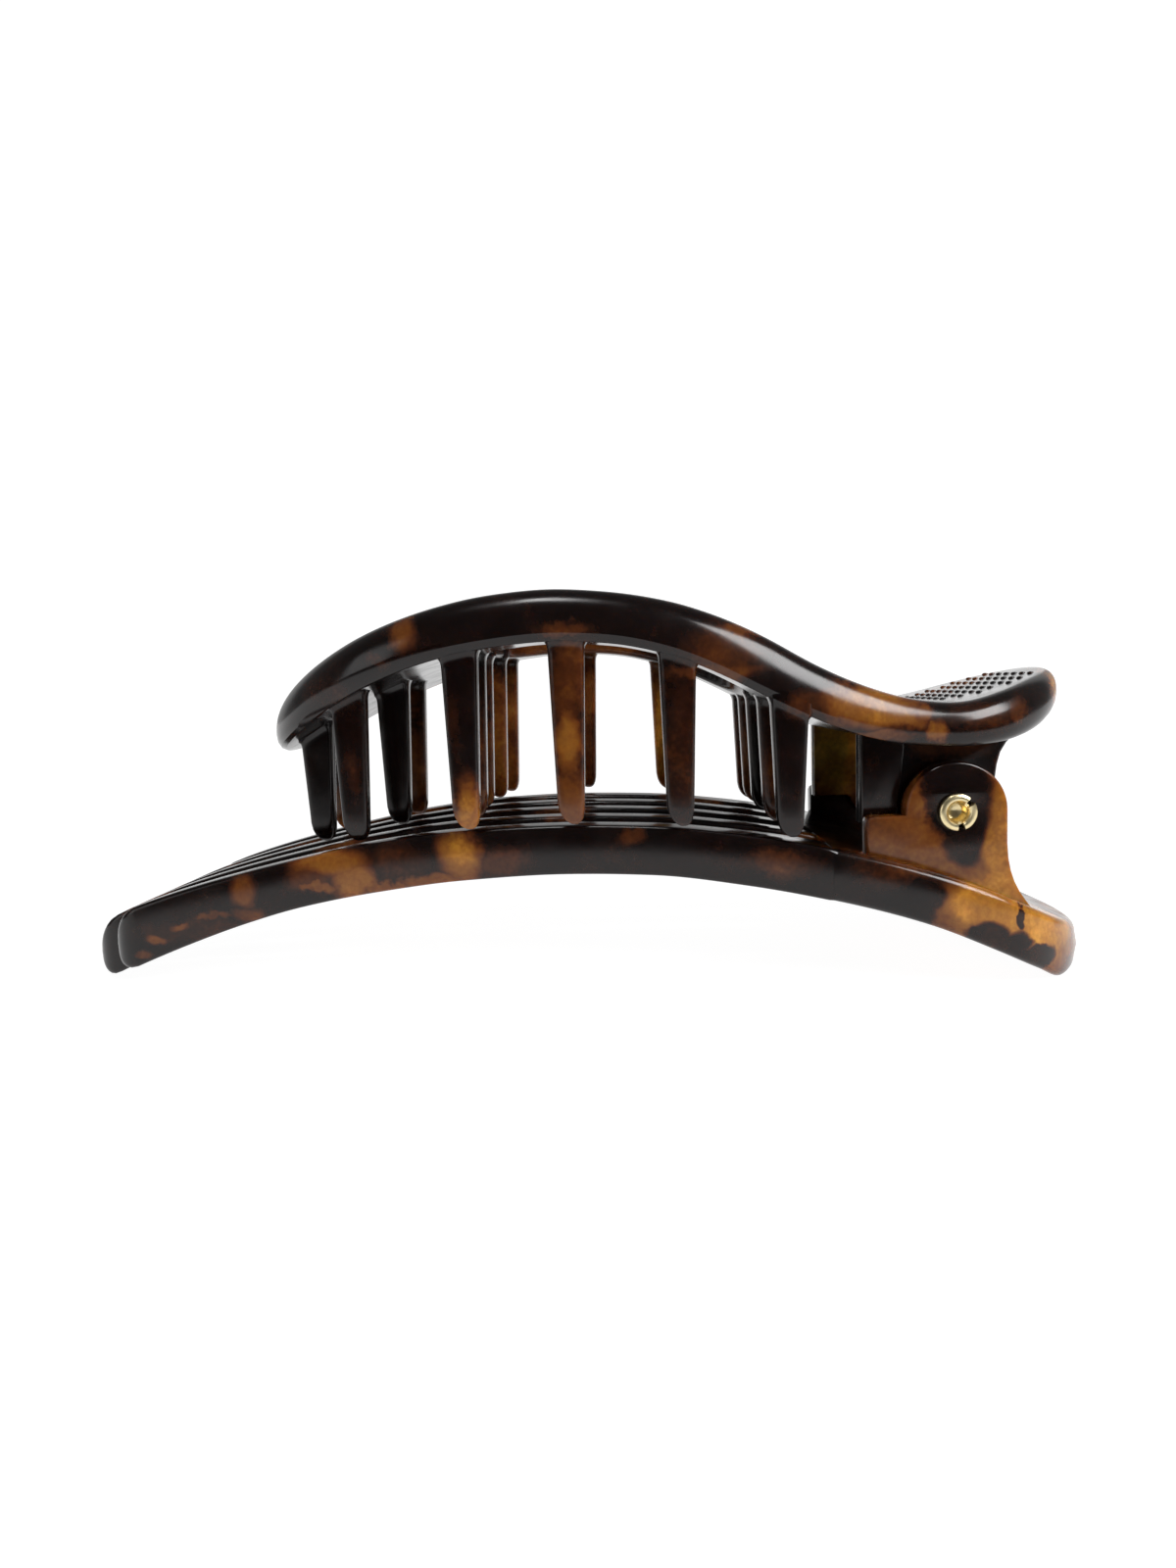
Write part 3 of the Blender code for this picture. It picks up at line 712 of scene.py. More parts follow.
def tooth_section(x, y, z, length, thickness):
    """A rectangle with round corners and slightly bulging sides across a tooth."""
    points = []
    power = 2.0 / TOOTH_POWER
    for k in range(TOOTH_SIDES):
        angle = 2.0 * math.pi * (k + 0.5) / TOOTH_SIDES
        along_x = signed_power(math.cos(angle), power)
        along_y = signed_power(math.sin(angle), power)
        points.append((x + length / 2.0 * along_x, y + thickness / 2.0 * along_y, z))
    return points


def tooth_loops(tooth, y):
    tip = base_top(tooth.x) + tooth.tip_gap
    root = upper_bottom(tooth.x)
    loops = []
    for cut in TIP_CUTS:
        loops.append(tooth_section(tooth.x + cut.shift, y, tip + cut.height, cut.length, cut.thickness))
    lean = (upper_bottom(tooth.x + 1.0) - upper_bottom(tooth.x - 1.0)) / 2.0
    for cut in ROOT_CUTS:
        flat = tooth_section(tooth.x, y, root + cut.height, cut.length, cut.thickness)
        loops.append([(px, py, pz + lean * (px - tooth.x)) for px, py, pz in flat])
    return loops


def upper_ear_outline():
    points = from_pin(UPPER_EAR_FRONT)
    points += arc_round_pin(UPPER_EAR_RADIUS, *UPPER_EAR_ARC)
    return points + from_pin(UPPER_EAR_REAR)


def make_upper_arm(material):
    bm = bmesh.new()
    add_skin(bm, upper_plate_loops(), closed_ring=True)
    for tooth in TEETH:
        for side in (-1, 1) if tooth.y else (1,):
            add_skin(bm, tooth_loops(tooth, side * tooth.y))
    for side in (-1, 1):
        inner = side * UPPER_EAR_INNER
        outer = side * UPPER_EAR_OUTER
        stepped = inner + side * EAR_FACE_STEP
        boss = arc_round_pin(EAR_BOSS_RADIUS, *WHOLE_CIRCLE)
        add_slab(bm, upper_ear_outline(), HOLE_RADIUS, inner, side * UPPER_EAR_WEB_OUTER)
        add_slab(bm, boss, HOLE_RADIUS, stepped, outer)
        add_slab(bm, from_pin(FRONT_PLATE), 0.0, stepped, outer)
    return finished_object("upper_arm_moulding", bm, material, "upper", "upper_arm")


# Grip dots on the thumb plate
def add_dot(bm, x, y):
    """A low round dot on the top of the upper arm."""
    loops = []
    for height, part in DOT_PROFILE:
        rim = circle(DOT_RADIUS * part, DOT_SIDES)
        loops.append([(x + dx, y + dy, upper_top(x) + height) for dx, dy in rim])
    add_skin(bm, loops)


def make_grip_dots(material):
    """Rows of dots on the thumb plate, every second row moved by half a pitch."""
    bm = bmesh.new()
    for row in range(DOT_ROWS):
        x = DOT_START_X + DOT_ROW_PITCH * row
        width = DOT_FIELD_HALF_WIDTH - DOT_FIELD_TAPER * abs(row - DOT_ROWS // 2)
        count = int(width / DOT_PITCH) + 1
        for k in range(-count, count + 1):
            y = DOT_PITCH * (k + 0.5 * (row % 2))
            if abs(y) <= width:
                add_dot(bm, x, y)
    return finished_object("grip_dots", bm, material, "upper", None)


# Rivet and spring
RivetPoint = namedtuple("RivetPoint", "radius out")
RIVET_END = [
    RivetPoint(1.3, -0.05),
    RivetPoint(1.86, -0.02),
    RivetPoint(1.94, 0.06),
    RivetPoint(1.95, 0.2),
    RivetPoint(1.88, 0.38),
    RivetPoint(1.72, 0.5),
    RivetPoint(1.5, 0.55),
    RivetPoint(1.28, 0.5),
    RivetPoint(1.12, 0.36),
    RivetPoint(1.02, 0.12),
    RivetPoint(0.98, -0.3),
    RivetPoint(0.96, -1.0),
    RivetPoint(0.85, -1.3),
    RivetPoint(0.5, -1.48),
    RivetPoint(0.02, -1.55),
]
NOTCHES = (-80.0, 40.0)
NOTCH_HALF_WIDTH = 8.0
NOTCH_FADE = 2.5
NOTCH_ROOT_RADIUS = 1.05
NOTCH_ROOT_OUT = -0.04
NOTCH_FLOOR_OUT = 0.05
NOTCH_SIDE_CUT = 0.8
NOTCH_DEPTH_CUT = 0.85
RIVET_SIDES = 90


def notch_depth(degrees):
    """How far the rim is cut back at an angle: 1 in the middle of a split, 0 away from it."""
    nearest = min(abs((degrees - notch + 180.0) % 360.0 - 180.0) for notch in NOTCHES)
    return 1.0 - smooth_step((nearest - NOTCH_HALF_WIDTH) / NOTCH_FADE)


def make_rivet(material):
    """A turned brass pin whose rolled rims have two splits each."""
    profile = [(point.radius, FLANGE_INNER_Y + point.out) for point in RIVET_END]
    whole = profile[::-1] + [(radius, -y) for radius, y in profile]
    loops = []
    for radius, y in whole:
        out = abs(y) - FLANGE_INNER_Y
        on_rim = radius > NOTCH_ROOT_RADIUS and out > NOTCH_ROOT_OUT
        loop = []
        for k in range(RIVET_SIDES):
            degrees = 360.0 * k / RIVET_SIDES
            angle = math.radians(degrees)
            cut = notch_depth(degrees) if on_rim else 0.0
            r = radius - cut * NOTCH_SIDE_CUT * (radius - NOTCH_ROOT_RADIUS)
            sunk = cut * max(out - NOTCH_FLOOR_OUT, 0.0) * NOTCH_DEPTH_CUT
            place_y = y - math.copysign(sunk, y)
            loop.append((PIN_X + r * math.cos(angle), place_y, PIN_Z + r * math.sin(angle)))
        loops.append(loop)
    bm = bmesh.new()
    add_skin(bm, loops)
    return finished_object("brass_rivet", bm, material, "base", "hinge_rivet")


def on_coil(degrees, y):
    angle = math.radians(degrees)
    return (PIN_X + COIL_RADIUS * math.cos(angle), y, PIN_Z + COIL_RADIUS * math.sin(angle))


def leg_angle(height):
    return math.degrees(math.atan2(height - PIN_Z, LEG_REACH_X - PIN_X))


def spring_coil_points():
    foot = base_top(LEG_REACH_X) + WIRE_RADIUS + LEG_GAP
    start = 270.0 + leg_angle(foot) + LEG_TURN
    points = [(LEG_REACH_X, COIL_START_Y, foot)]
    for k in range(COIL_TURNS * COIL_STEPS + 1):
        y = COIL_START_Y + COIL_PITCH * k / COIL_STEPS
        points.append(on_coil(start - 360.0 * k / COIL_STEPS, y))
    return points


def spring_end_points():
    y = COIL_START_Y + COIL_PITCH * (COIL_TURNS + 1)
    head = upper_bottom(LEG_REACH_X) - WIRE_RADIUS - LEG_GAP
    leave = 90.0 + leg_angle(head) - LEG_TURN
    points = []
    for k in range(COIL_END_STEPS + 1):
        points.append(on_coil(leave + COIL_END_TURN - COIL_END_TURN * k / COIL_END_STEPS, y))
    return points + [(LEG_REACH_X, y, head)]


def make_wire(name, points, material, body, node):
    """A round wire along the points, made as a mesh of rings."""
    centre = np.array(points)
    ahead = np.gradient(centre, axis=0)
    loops = []
    for point, direction in zip(centre, ahead):
        direction = Vector(direction).normalized()
        side = direction.cross(Vector((0.0, 1.0, 0.0))).normalized()
        up = side.cross(direction)
        loop = []
        for c, s in circle(1.0, WIRE_SIDES):
            loop.append(tuple(Vector(point) + WIRE_RADIUS * (c * side + s * up)))
        loops.append(loop)
    bm = bmesh.new()
    add_skin(bm, loops)
    return finished_object(name, bm, material, body, node)


# Materials
class Nodes:
    """Short calls for building one material's node tree."""

    def __init__(self, name):
        self.material = bpy.data.materials.new(name)
        self.material.use_nodes = True
        self.tree = self.material.node_tree
        self.shader = self.tree.nodes["Principled BSDF"]

    def link(self, output, target):
        self.tree.links.new(output, target)

    def give(self, node, inputs):
        for key, value in inputs.items():
            if isinstance(value, bpy.types.NodeSocket):
                self.link(value, node.inputs[key])
            else:
                node.inputs[key].default_value = value
        return node

    def place(self):
        """Position on the piece in millimetres, in the same X, Y and Z as the tables."""
        coordinates = self.tree.nodes.new("ShaderNodeTexCoord")
        in_mm = self.vector("MULTIPLY", coordinates.outputs["Object"], (1.0 / MM,) * 3)
        return self.vector("SUBTRACT", in_mm, (SHIFT_X, 0.0, 0.0))

    def y_of(self, place):
        separate = self.tree.nodes.new("ShaderNodeSeparateXYZ")
        self.link(place, separate.inputs[0])
        return separate.outputs["Y"]

    def vector(self, operation, first, second=(0.0, 0.0, 0.0)):
        node = self.tree.nodes.new("ShaderNodeVectorMath")
        node.operation = operation
        self.give(node, {0: first, 1: second})
        return node.outputs["Value" if operation == "LENGTH" else "Vector"]

    def scaled(self, vector, amount):
        node = self.tree.nodes.new("ShaderNodeVectorMath")
        node.operation = "SCALE"
        self.give(node, {0: vector, "Scale": amount})
        return node.outputs["Vector"]

    def math(self, operation, first, second):
        node = self.tree.nodes.new("ShaderNodeMath")
        node.operation = operation
        self.give(node, {0: first, 1: second})
        return node.outputs[0]

    def noise(self, place, size, detail):
        """Noise whose features are about the given size in millimetres."""
        node = self.tree.nodes.new("ShaderNodeTexNoise")
        self.give(node, {"Vector": place, "Scale": 1.0 / size, "Detail": detail})
        return node

    def layer(self, place, layer):
        """Noise that rises smoothly from 0 to the layer's share."""
        value = self.noise(place, layer.size, layer.detail).outputs["Fac"]
        return self.math("MULTIPLY", self.fade(value, layer.start, layer.end), layer.share)

    def wander(self, place, noise):
        """A direction and distance that change from place to place, each part from -0.5 to 0.5."""
        colour = self.noise(place, *noise).outputs["Color"]
        return self.vector("SUBTRACT", colour, (0.5, 0.5, 0.5))

    def ramp(self, value, stops):
        node = self.tree.nodes.new("ShaderNodeValToRGB")
        elements = node.color_ramp.elements
        while len(elements) < len(stops):
            elements.new(0.5)
        for element, (position, colour) in zip(elements, stops):
            element.position = position
            element.color = (*colour, 1.0)
        self.link(value, node.inputs["Fac"])
        return node.outputs["Color"]

    def fade(self, value, start, end):
        """0 at start and 1 at end, smoothly."""
        node = self.tree.nodes.new("ShaderNodeMapRange")
        node.interpolation_type = "SMOOTHSTEP"
        self.give(node, {"Value": value, "From Min": start, "From Max": end})
        return node.outputs["Result"]

    def add_bump(self, height, strength, distance):
        bump = self.tree.nodes.new("ShaderNodeBump")
        self.give(bump, {"Height": height, "Strength": strength, "Distance": distance})
        self.link(bump.outputs["Normal"], self.shader.inputs["Normal"])


# Patches in the plastic: a centre and half sizes in millimetres, and how light the patch is. Most are the
# tortoiseshell's own amber and brown; some are set lighter, a painted glow of light passing through shaded
# parts.
Patch = namedtuple("Patch", "x y z rx ry rz tone")
UPPER_PATCHES_AND_GLOW = [
    Patch(-22.7, -19.0, 39.4, 1.5, 4.0, 2.2, 0.58),
    Patch(-25.5, -18.0, 35.9, 1.2, 3.5, 0.8, 0.34),
    Patch(-32.0, -15.0, 33.0, 3.5, 4.0, 1.2, 0.2),
    Patch(-6.4, -19.0, 38.4, 2.4, 3.0, 0.8, 0.4),
    Patch(9.8, -19.0, 35.6, 4.4, 3.0, 2.6, 0.4),
    Patch(11.6, -18.5, 37.7, 2.6, 3.0, 0.9, 0.62),
    Patch(8.8, -19.0, 33.6, 4.8, 3.0, 0.9, 0.52),
    Patch(18.0, -18.0, 29.8, 2.4, 3.0, 1.6, 0.4),
    Patch(24.6, -18.0, 30.0, 5.6, 4.5, 2.5, 0.86),
    Patch(26.6, -17.5, 28.4, 3.4, 4.0, 1.5, 0.86),
    Patch(24.5, -17.5, 26.3, 4.6, 3.0, 0.7, 0.6),
    Patch(31.3, -16.8, 26.9, 1.1, 3.5, 1.6, 0.66),
    Patch(30.0, -17.0, 29.2, 1.3, 3.0, 1.0, 0.6),
    Patch(40.0, -14.5, 28.3, 1.2, 3.0, 1.7, 0.46),
    Patch(35.8, -16.0, 28.2, 3.6, 3.0, 1.4, 0.32),
    Patch(47.0, -7.5, 30.6, 2.0, 6.5, 2.6, 0.96),
    Patch(-29.6, -13.3, 24.0, 0.7, 1.5, 5.0, 0.16),
    Patch(-36.4, 4.45, 17.5, 2.6, 2.0, 4.5, 0.8),
    Patch(-27.2, 4.45, 24.0, 2.6, 2.0, 11.0, 0.6),
    Patch(-17.0, -17.6, 19.6, 1.9, 2.0, 4.6, 0.84),
    Patch(-17.8, -17.6, 29.0, 0.9, 1.6, 5.0, 0.25),
    # Back-row teeth: lighter than their own amber, a painted glow of light passing through them in the shade
    # of the front row.
    Patch(-17.5, -8.9, 24.0, 2.6, 1.8, 13.0, 0.55),
    Patch(-18.0, 0.0, 24.0, 2.6, 1.8, 13.0, 0.66),
    Patch(-17.5, 8.9, 24.0, 2.6, 1.8, 13.0, 0.72),
    Patch(-17.0, 17.6, 26.0, 2.6, 1.8, 13.0, 0.68),
    Patch(-6.1, -17.6, 26.5, 1.5, 2.0, 4.6, 0.88),
    Patch(-6.1, -17.6, 21.0, 2.4, 2.0, 4.5, 0.68),
    Patch(-6.1, -17.6, 32.0, 2.6, 2.0, 6.0, 0.5),
    Patch(-6.1, 17.6, 26.0, 2.4, 2.0, 11.0, 0.46),
    Patch(5.1, -17.6, 27.0, 2.0, 2.0, 9.0, 0.3),
    # Far tooth at full tone: partly its own amber, partly a painted glow of light passing through it.
    Patch(5.1, 17.6, 27.0, 3.2, 3.0, 10.0, 1.0),
    Patch(16.1, -8.9, 24.0, 2.4, 2.0, 9.0, 0.36),
    Patch(16.1, 8.9, 23.0, 2.4, 2.0, 10.0, 0.6),
    Patch(17.0, 8.9, 21.0, 1.0, 2.0, 5.0, 0.7),
    Patch(16.3, 17.2, 23.0, 2.4, 2.0, 10.0, 0.6),
    # Far hinge plate at full tone: its own brown made lighter, a painted glow of light passing through this
    # shaded plate.
    Patch(28.0, 12.0, 23.0, 6.0, 3.0, 7.0, 1.0),
    Patch(34.0, -12.5, 25.2, 4.0, 2.5, 1.8, 0.42),
    Patch(40.2, -12.5, 22.6, 1.4, 2.5, 1.4, 0.6),
]
BASE_PATCHES_AND_GLOW = [
    Patch(-32.4, -15.5, 14.8, 4.0, 3.5, 1.9, 0.84),
    Patch(-30.0, -15.5, 12.7, 2.2, 3.0, 2.2, 0.86),
    Patch(-33.8, -15.5, 12.0, 2.3, 3.0, 0.5, 0.72),
    Patch(-34.6, -15.5, 13.4, 2.6, 3.0, 1.9, 0.5),
    Patch(-27.0, -15.5, 11.7, 3.6, 3.0, 0.8, 0.68),
    Patch(-21.6, -15.5, 12.3, 3.8, 3.0, 0.8, 0.72),
    Patch(-24.9, -15.5, 14.4, 3.6, 3.0, 1.9, 0.3),
    Patch(-18.5, -15.8, 15.0, 2.3, 3.0, 3.4, 0.86),
    Patch(-14.0, -15.8, 14.4, 3.0, 3.0, 1.9, 0.44),
    Patch(-42.4, -15.5, 12.0, 1.5, 3.0, 1.7, 0.62),
    Patch(-42.0, -15.5, 9.4, 1.8, 3.0, 0.9, 0.52),
    Patch(-45.6, -15.5, 9.0, 1.9, 3.0, 0.5, 0.52),
    Patch(-49.5, -15.5, 8.1, 1.2, 3.0, 0.5, 0.66),
    Patch(-51.9, -15.5, 7.0, 1.1, 3.0, 0.5, 0.66),
    Patch(-53.6, -15.5, 5.2, 1.0, 3.0, 0.5, 0.55),
    Patch(-48.0, -15.5, 7.6, 7.0, 3.0, 1.2, 0.24),
    Patch(0.2, -15.8, 16.6, 1.6, 3.0, 0.9, 0.46),
    Patch(15.5, -16.0, 13.7, 4.4, 3.0, 1.3, 0.42),
    # Hinge end at full tone: its own amber, which with the lightest colour stop also paints the glow of
    # light passing through the end.
    Patch(40.5, -15.0, 7.5, 10.5, 9.0, 7.0, 1.0),
    Patch(35.6, -18.0, 9.6, 4.6, 4.0, 3.4, 1.0),
    Patch(28.5, -15.8, 15.0, 6.5, 3.0, 5.4, 0.64),
    Patch(29.0, -15.8, 20.5, 3.0, 3.0, 5.0, 0.6),
    Patch(37.9, -15.8, 16.0, 2.2, 3.0, 7.5, 0.9),
    Patch(33.5, -15.8, 11.8, 4.0, 3.0, 2.4, 0.72),
    Patch(49.0, -6.0, 3.0, 3.5, 12.0, 3.0, 0.8),
    Patch(33.0, 0.0, 11.0, 14.0, 9.0, 2.5, 0.4),
]
BASE_DARK = [
    Patch(33.4, -16.0, 20.6, 3.2, 2.0, 6.0, 0.9),
    Patch(34.2, -16.0, 16.6, 2.7, 2.0, 3.6, 0.9),
    Patch(29.6, -18.0, 10.3, 2.0, 3.0, 1.6, 1.0),
    Patch(27.6, -18.0, 8.6, 3.0, 3.0, 2.2, 1.0),
    Patch(35.8, -17.4, 6.0, 2.2, 4.0, 1.6, 0.92),
    Patch(38.3, -16.8, 4.7, 2.6, 4.0, 1.6, 0.92),
    Patch(41.0, -16.0, 3.2, 2.6, 4.0, 1.4, 0.92),
    Patch(39.3, -17.0, 7.5, 0.5, 3.0, 1.3, 0.8),
    Patch(-61.0, -7.0, 4.0, 7.0, 3.4, 5.0, 1.0),
]

# Shares of a patch's size between which it fades in, for light and for dark patches
SOFT_EDGE = (1.55, 0.5)
CRISP_EDGE = (1.2, 0.85)

# Depths in Y between which the free clouds set in, behind the near side's own patches
BASE_CLOUD_DEPTHS = (-14.0, -10.0)
UPPER_CLOUD_DEPTHS = (-3.0, 7.0)

# Noise: feature size in millimetres and detail, and for a layer the values it fades between and its share
Layer = namedtuple("Layer", "size detail start end share")
Noise = namedtuple("Noise", "size detail")
CLOUDS = Layer(11.0, 1.0, 0.46, 0.62, 0.62)
MOTTLE = Layer(4.0, 5.0, 0.38, 0.75, 0.16)
GRAIN = Layer(0.5, 4.0, 0.25, 0.75, 0.07)
SMEARS = Layer(3.0, 3.0, -1.0, 4.5, 1.0)

# How far the patches' edges wander: softly everywhere, and raggedly in some places more than in others
DRIFT = Noise(5.0, 2.0)
DRIFT_REACH = 2.4
RAGGED = Noise(0.9, 5.0)
RAGGED_REACH = 0.25
RAGGED_PLACES = Layer(6.0, 1.0, 0.42, 0.6, 1.6)

# Share of the patches in the tone, and the colours from the darkest brown to the lightest amber; the
# lightest stop is brighter than the amber itself, a painted glow of light passing through it.
PATCH_SHARE = 0.8
PLASTIC_AND_GLOW_COLOURS = [
    (0.0, (0.0030, 0.0012, 0.0010)),
    (0.14, (0.0070, 0.0024, 0.0017)),
    (0.28, (0.022, 0.0064, 0.0028)),
    (0.45, (0.070, 0.0185, 0.0050)),
    (0.62, (0.145, 0.046, 0.0085)),
    (0.78, (0.240, 0.090, 0.0135)),
    (0.9, (0.420, 0.178, 0.021)),
    # Lightest stop: brighter than the plastic's own amber, a painted glow of light passing through it.
    (1.0, (0.620, 0.285, 0.038)),
]
PLASTIC_SHADER = {
    "IOR": 1.44,
    "Subsurface Weight": 0.6,
    "Subsurface Radius": (1.0, 0.42, 0.12),
    "Subsurface Scale": 0.002,
}
RIPPLES = Noise(2.6, 2.0)
RIPPLE_STRENGTH = 0.05
RIPPLE_HEIGHT = 0.0002

# Metals: two colours, least roughness and grain in millimetres; wear and scratches as shares of the grain
Metal = namedtuple("Metal", "dark light roughness grain")
BRASS = Metal((0.8, 0.65, 0.35), (0.93, 0.81, 0.51), 0.22, 1.4)
SPRING_STEEL = Metal((0.35, 0.35, 0.36), (0.6, 0.6, 0.62), 0.15, 2.0)
GRAIN_DETAIL = 4.0
COLOUR_LIMITS = (0.3, 0.7)
WEAR = Layer(0.5, 3.0, -0.5, 2.5, 0.3)
SCRATCHES = Noise(0.3, 3.0)
SCRATCH_STRENGTH = 0.15
SCRATCH_HEIGHT = 0.00005


def patch_tone(nodes, place, patches, outer, inner):
    """How strong the patches are at each place: none outside the outer share of their sizes, full inside."""
    total = None
    for patch in patches:
        offset = nodes.vector("SUBTRACT", place, (patch.x, patch.y, patch.z))
        scaled = nodes.vector("MULTIPLY", offset, (1.0 / patch.rx, 1.0 / patch.ry, 1.0 / patch.rz))
        inside = nodes.fade(nodes.vector("LENGTH", scaled), outer, inner)
        toned = nodes.math("MULTIPLY", inside, patch.tone)
        total = toned if total is None else nodes.math("MAXIMUM", total, toned)
    return total


def tortoiseshell(name, patches, dark_patches, cloud_depths):
    """Glossy mottled plastic: soft amber and rusty clouds in a very dark brown, with painted glow where
    light passes through shaded parts.
    """
    nodes = Nodes(name)
    place = nodes.place()
    drift = nodes.wander(place, DRIFT)
    moved = nodes.vector("ADD", place, nodes.vector("MULTIPLY", drift, (DRIFT_REACH,) * 3))
    reach = nodes.math("ADD", nodes.layer(place, RAGGED_PLACES), RAGGED_REACH)
    ragged = nodes.wander(place, RAGGED)
    moved = nodes.vector("ADD", moved, nodes.scaled(ragged, reach))
    tone = patch_tone(nodes, moved, patches, *SOFT_EDGE)
    depth = nodes.fade(nodes.y_of(place), *cloud_depths)
    clouds = nodes.math("MULTIPLY", nodes.layer(moved, CLOUDS), depth)
    tone = nodes.math("MAXIMUM", tone, clouds)
    if dark_patches:
        dark = patch_tone(nodes, moved, dark_patches, *CRISP_EDGE)
        tone = nodes.math("MULTIPLY", tone, nodes.math("SUBTRACT", 1.0, dark))
    speckle = nodes.math("ADD", nodes.layer(moved, MOTTLE), nodes.layer(place, GRAIN))
    tone = nodes.math("ADD", nodes.math("MULTIPLY", tone, PATCH_SHARE), speckle)
    nodes.link(nodes.ramp(tone, PLASTIC_AND_GLOW_COLOURS), nodes.shader.inputs["Base Color"])
    nodes.link(nodes.layer(place, SMEARS), nodes.shader.inputs["Roughness"])
    ripples = nodes.noise(place, *RIPPLES).outputs["Fac"]
    nodes.add_bump(ripples, RIPPLE_STRENGTH, RIPPLE_HEIGHT)
    nodes.give(nodes.shader, PLASTIC_SHADER)
    return nodes.material


def polished_metal(name, metal):
    """Bright metal with slightly uneven colour and wear."""
    nodes = Nodes(name)
    place = nodes.place()
    tone = nodes.noise(place, metal.grain, GRAIN_DETAIL).outputs["Fac"]
    colours = list(zip(COLOUR_LIMITS, (metal.dark, metal.light)))
    nodes.link(nodes.ramp(tone, colours), nodes.shader.inputs["Base Color"])
    wear = nodes.layer(place, WEAR._replace(size=metal.grain * WEAR.size))
    nodes.link(nodes.math("ADD", wear, metal.roughness), nodes.shader.inputs["Roughness"])
    scratches = nodes.noise(place, metal.grain * SCRATCHES.size, SCRATCHES.detail).outputs["Fac"]
    nodes.add_bump(scratches, SCRATCH_STRENGTH, SCRATCH_HEIGHT)
    nodes.give(nodes.shader, {"Metallic": 1.0})
    return nodes.material


# Floor and backdrop: sizes in metres, profile as radius and height, limits of the glow in millimetres
WHITE = (1.0, 1.0, 1.0, 1.0)
STAGE_SHADER = {"Roughness": 0.8, "Specular IOR Level": 0.0, "Emission Color": WHITE}
FLOOR_DEPTH = 0.0001
FLOOR_HALF_SIZE = 6.0
FLOOR_LIT_Y = -86.0
FLOOR_DARK_Y = -130.0
FLOOR_GLOW = 0.95
FLOOR_SHADE = (0.18, 0.18, 0.18)
FLOOR_DIM_SHADE = (0.02, 0.02, 0.02)
BOWL_GLOW = 0.97
BOWL_FAR_GLOW = 1.03
BOWL_GLOW_DISTANCES = (150.0, 500.0)
BOWL_SIDES = 64
BOWL_PROFILE = [(2.8, 0.0), (3.3, 0.13), (3.7, 0.4), (3.9, 0.8), (4.0, 1.3), (4.0, 6.0)]

# Brightness of the world by direction, and the parts of the direction between which it changes
WORLD_BEHIND = 0.5
WORLD_SIDES = 0.16
WORLD_FRONT = 0.07
WORLD_TOP_SHARE = 0.12
BEHIND_Y = (0.42, 0.68)
SIDES_Y = (-0.6, 0.3)
TOP_Z = (0.72, 0.60)

# Softboxes, in metres and watts
Lamp = namedtuple("Lamp", "name place size power")
LAMPS = [
    Lamp("top_softbox", (-0.04, -0.25, 0.48), 0.09, 0.4),
    Lamp("right_softbox", (0.42, -0.34, 0.37), 0.3, 3.6),
    Lamp("left_softbox", (-0.5, -0.4, 0.14), 0.3, 0.4),
    Lamp("back_softbox", (0.22, 0.56, 0.145), 0.22, 0.12),
]
LAMP_AIM = (0.0, 0.0, 0.02)


def stage_object(name, bm, material):
    mesh = bpy.data.meshes.new(name)
    bm.to_mesh(mesh)
    bm.free()
    mesh.materials.append(material)
    obj = bpy.data.objects.new(name, mesh)
    bpy.context.scene.collection.objects.link(obj)
    return obj


def make_floor():
    """The bright floor that the gloss mirrors and that lights the clip, dim in front and unseen itself."""
    nodes = Nodes("floor_glow")
    nodes.give(nodes.shader, STAGE_SHADER)
    lit = nodes.fade(nodes.y_of(nodes.place()), FLOOR_DARK_Y, FLOOR_LIT_Y)
    nodes.link(nodes.math("MULTIPLY", lit, FLOOR_GLOW), nodes.shader.inputs["Emission Strength"])
    shade = nodes.ramp(lit, [(0.0, FLOOR_DIM_SHADE), (1.0, FLOOR_SHADE)])
    nodes.link(shade, nodes.shader.inputs["Base Color"])
    bm = bmesh.new()
    bmesh.ops.create_grid(bm, x_segments=1, y_segments=1, size=FLOOR_HALF_SIZE)
    bmesh.ops.translate(bm, verts=bm.verts, vec=(0.0, 0.0, -2.0 * FLOOR_DEPTH))
    floor = stage_object("floor", bm, nodes.material)
    floor.visible_camera = False


def make_backdrop():
    """The pale floor that the camera sees, which curves up to a white wall all round."""
    nodes = Nodes("pale_backdrop")
    nodes.give(nodes.shader, STAGE_SHADER)
    nodes.give(nodes.shader, {"Base Color": (*FLOOR_SHADE, 1.0)})
    far = nodes.fade(nodes.vector("LENGTH", nodes.place()), *BOWL_GLOW_DISTANCES)
    glow = nodes.math("ADD", nodes.math("MULTIPLY", far, BOWL_FAR_GLOW - BOWL_GLOW), BOWL_GLOW)
    nodes.link(glow, nodes.shader.inputs["Emission Strength"])
    bm = bmesh.new()
    rows = []
    for radius, height in BOWL_PROFILE:
        rim = circle(radius, BOWL_SIDES)
        rows.append([bm.verts.new((x, y, height - FLOOR_DEPTH)) for x, y in rim])
    bm.faces.new(rows[0])
    for lower, upper in zip(rows, rows[1:]):
        for k in range(BOWL_SIDES):
            after = (k + 1) % BOWL_SIDES
            bm.faces.new((lower[k], lower[after], upper[after], upper[k]))
    backdrop = stage_object("backdrop", bm, nodes.material)
    backdrop.visible_glossy = False
    backdrop.visible_diffuse = False
    backdrop.visible_transmission = False
    backdrop.visible_shadow = False


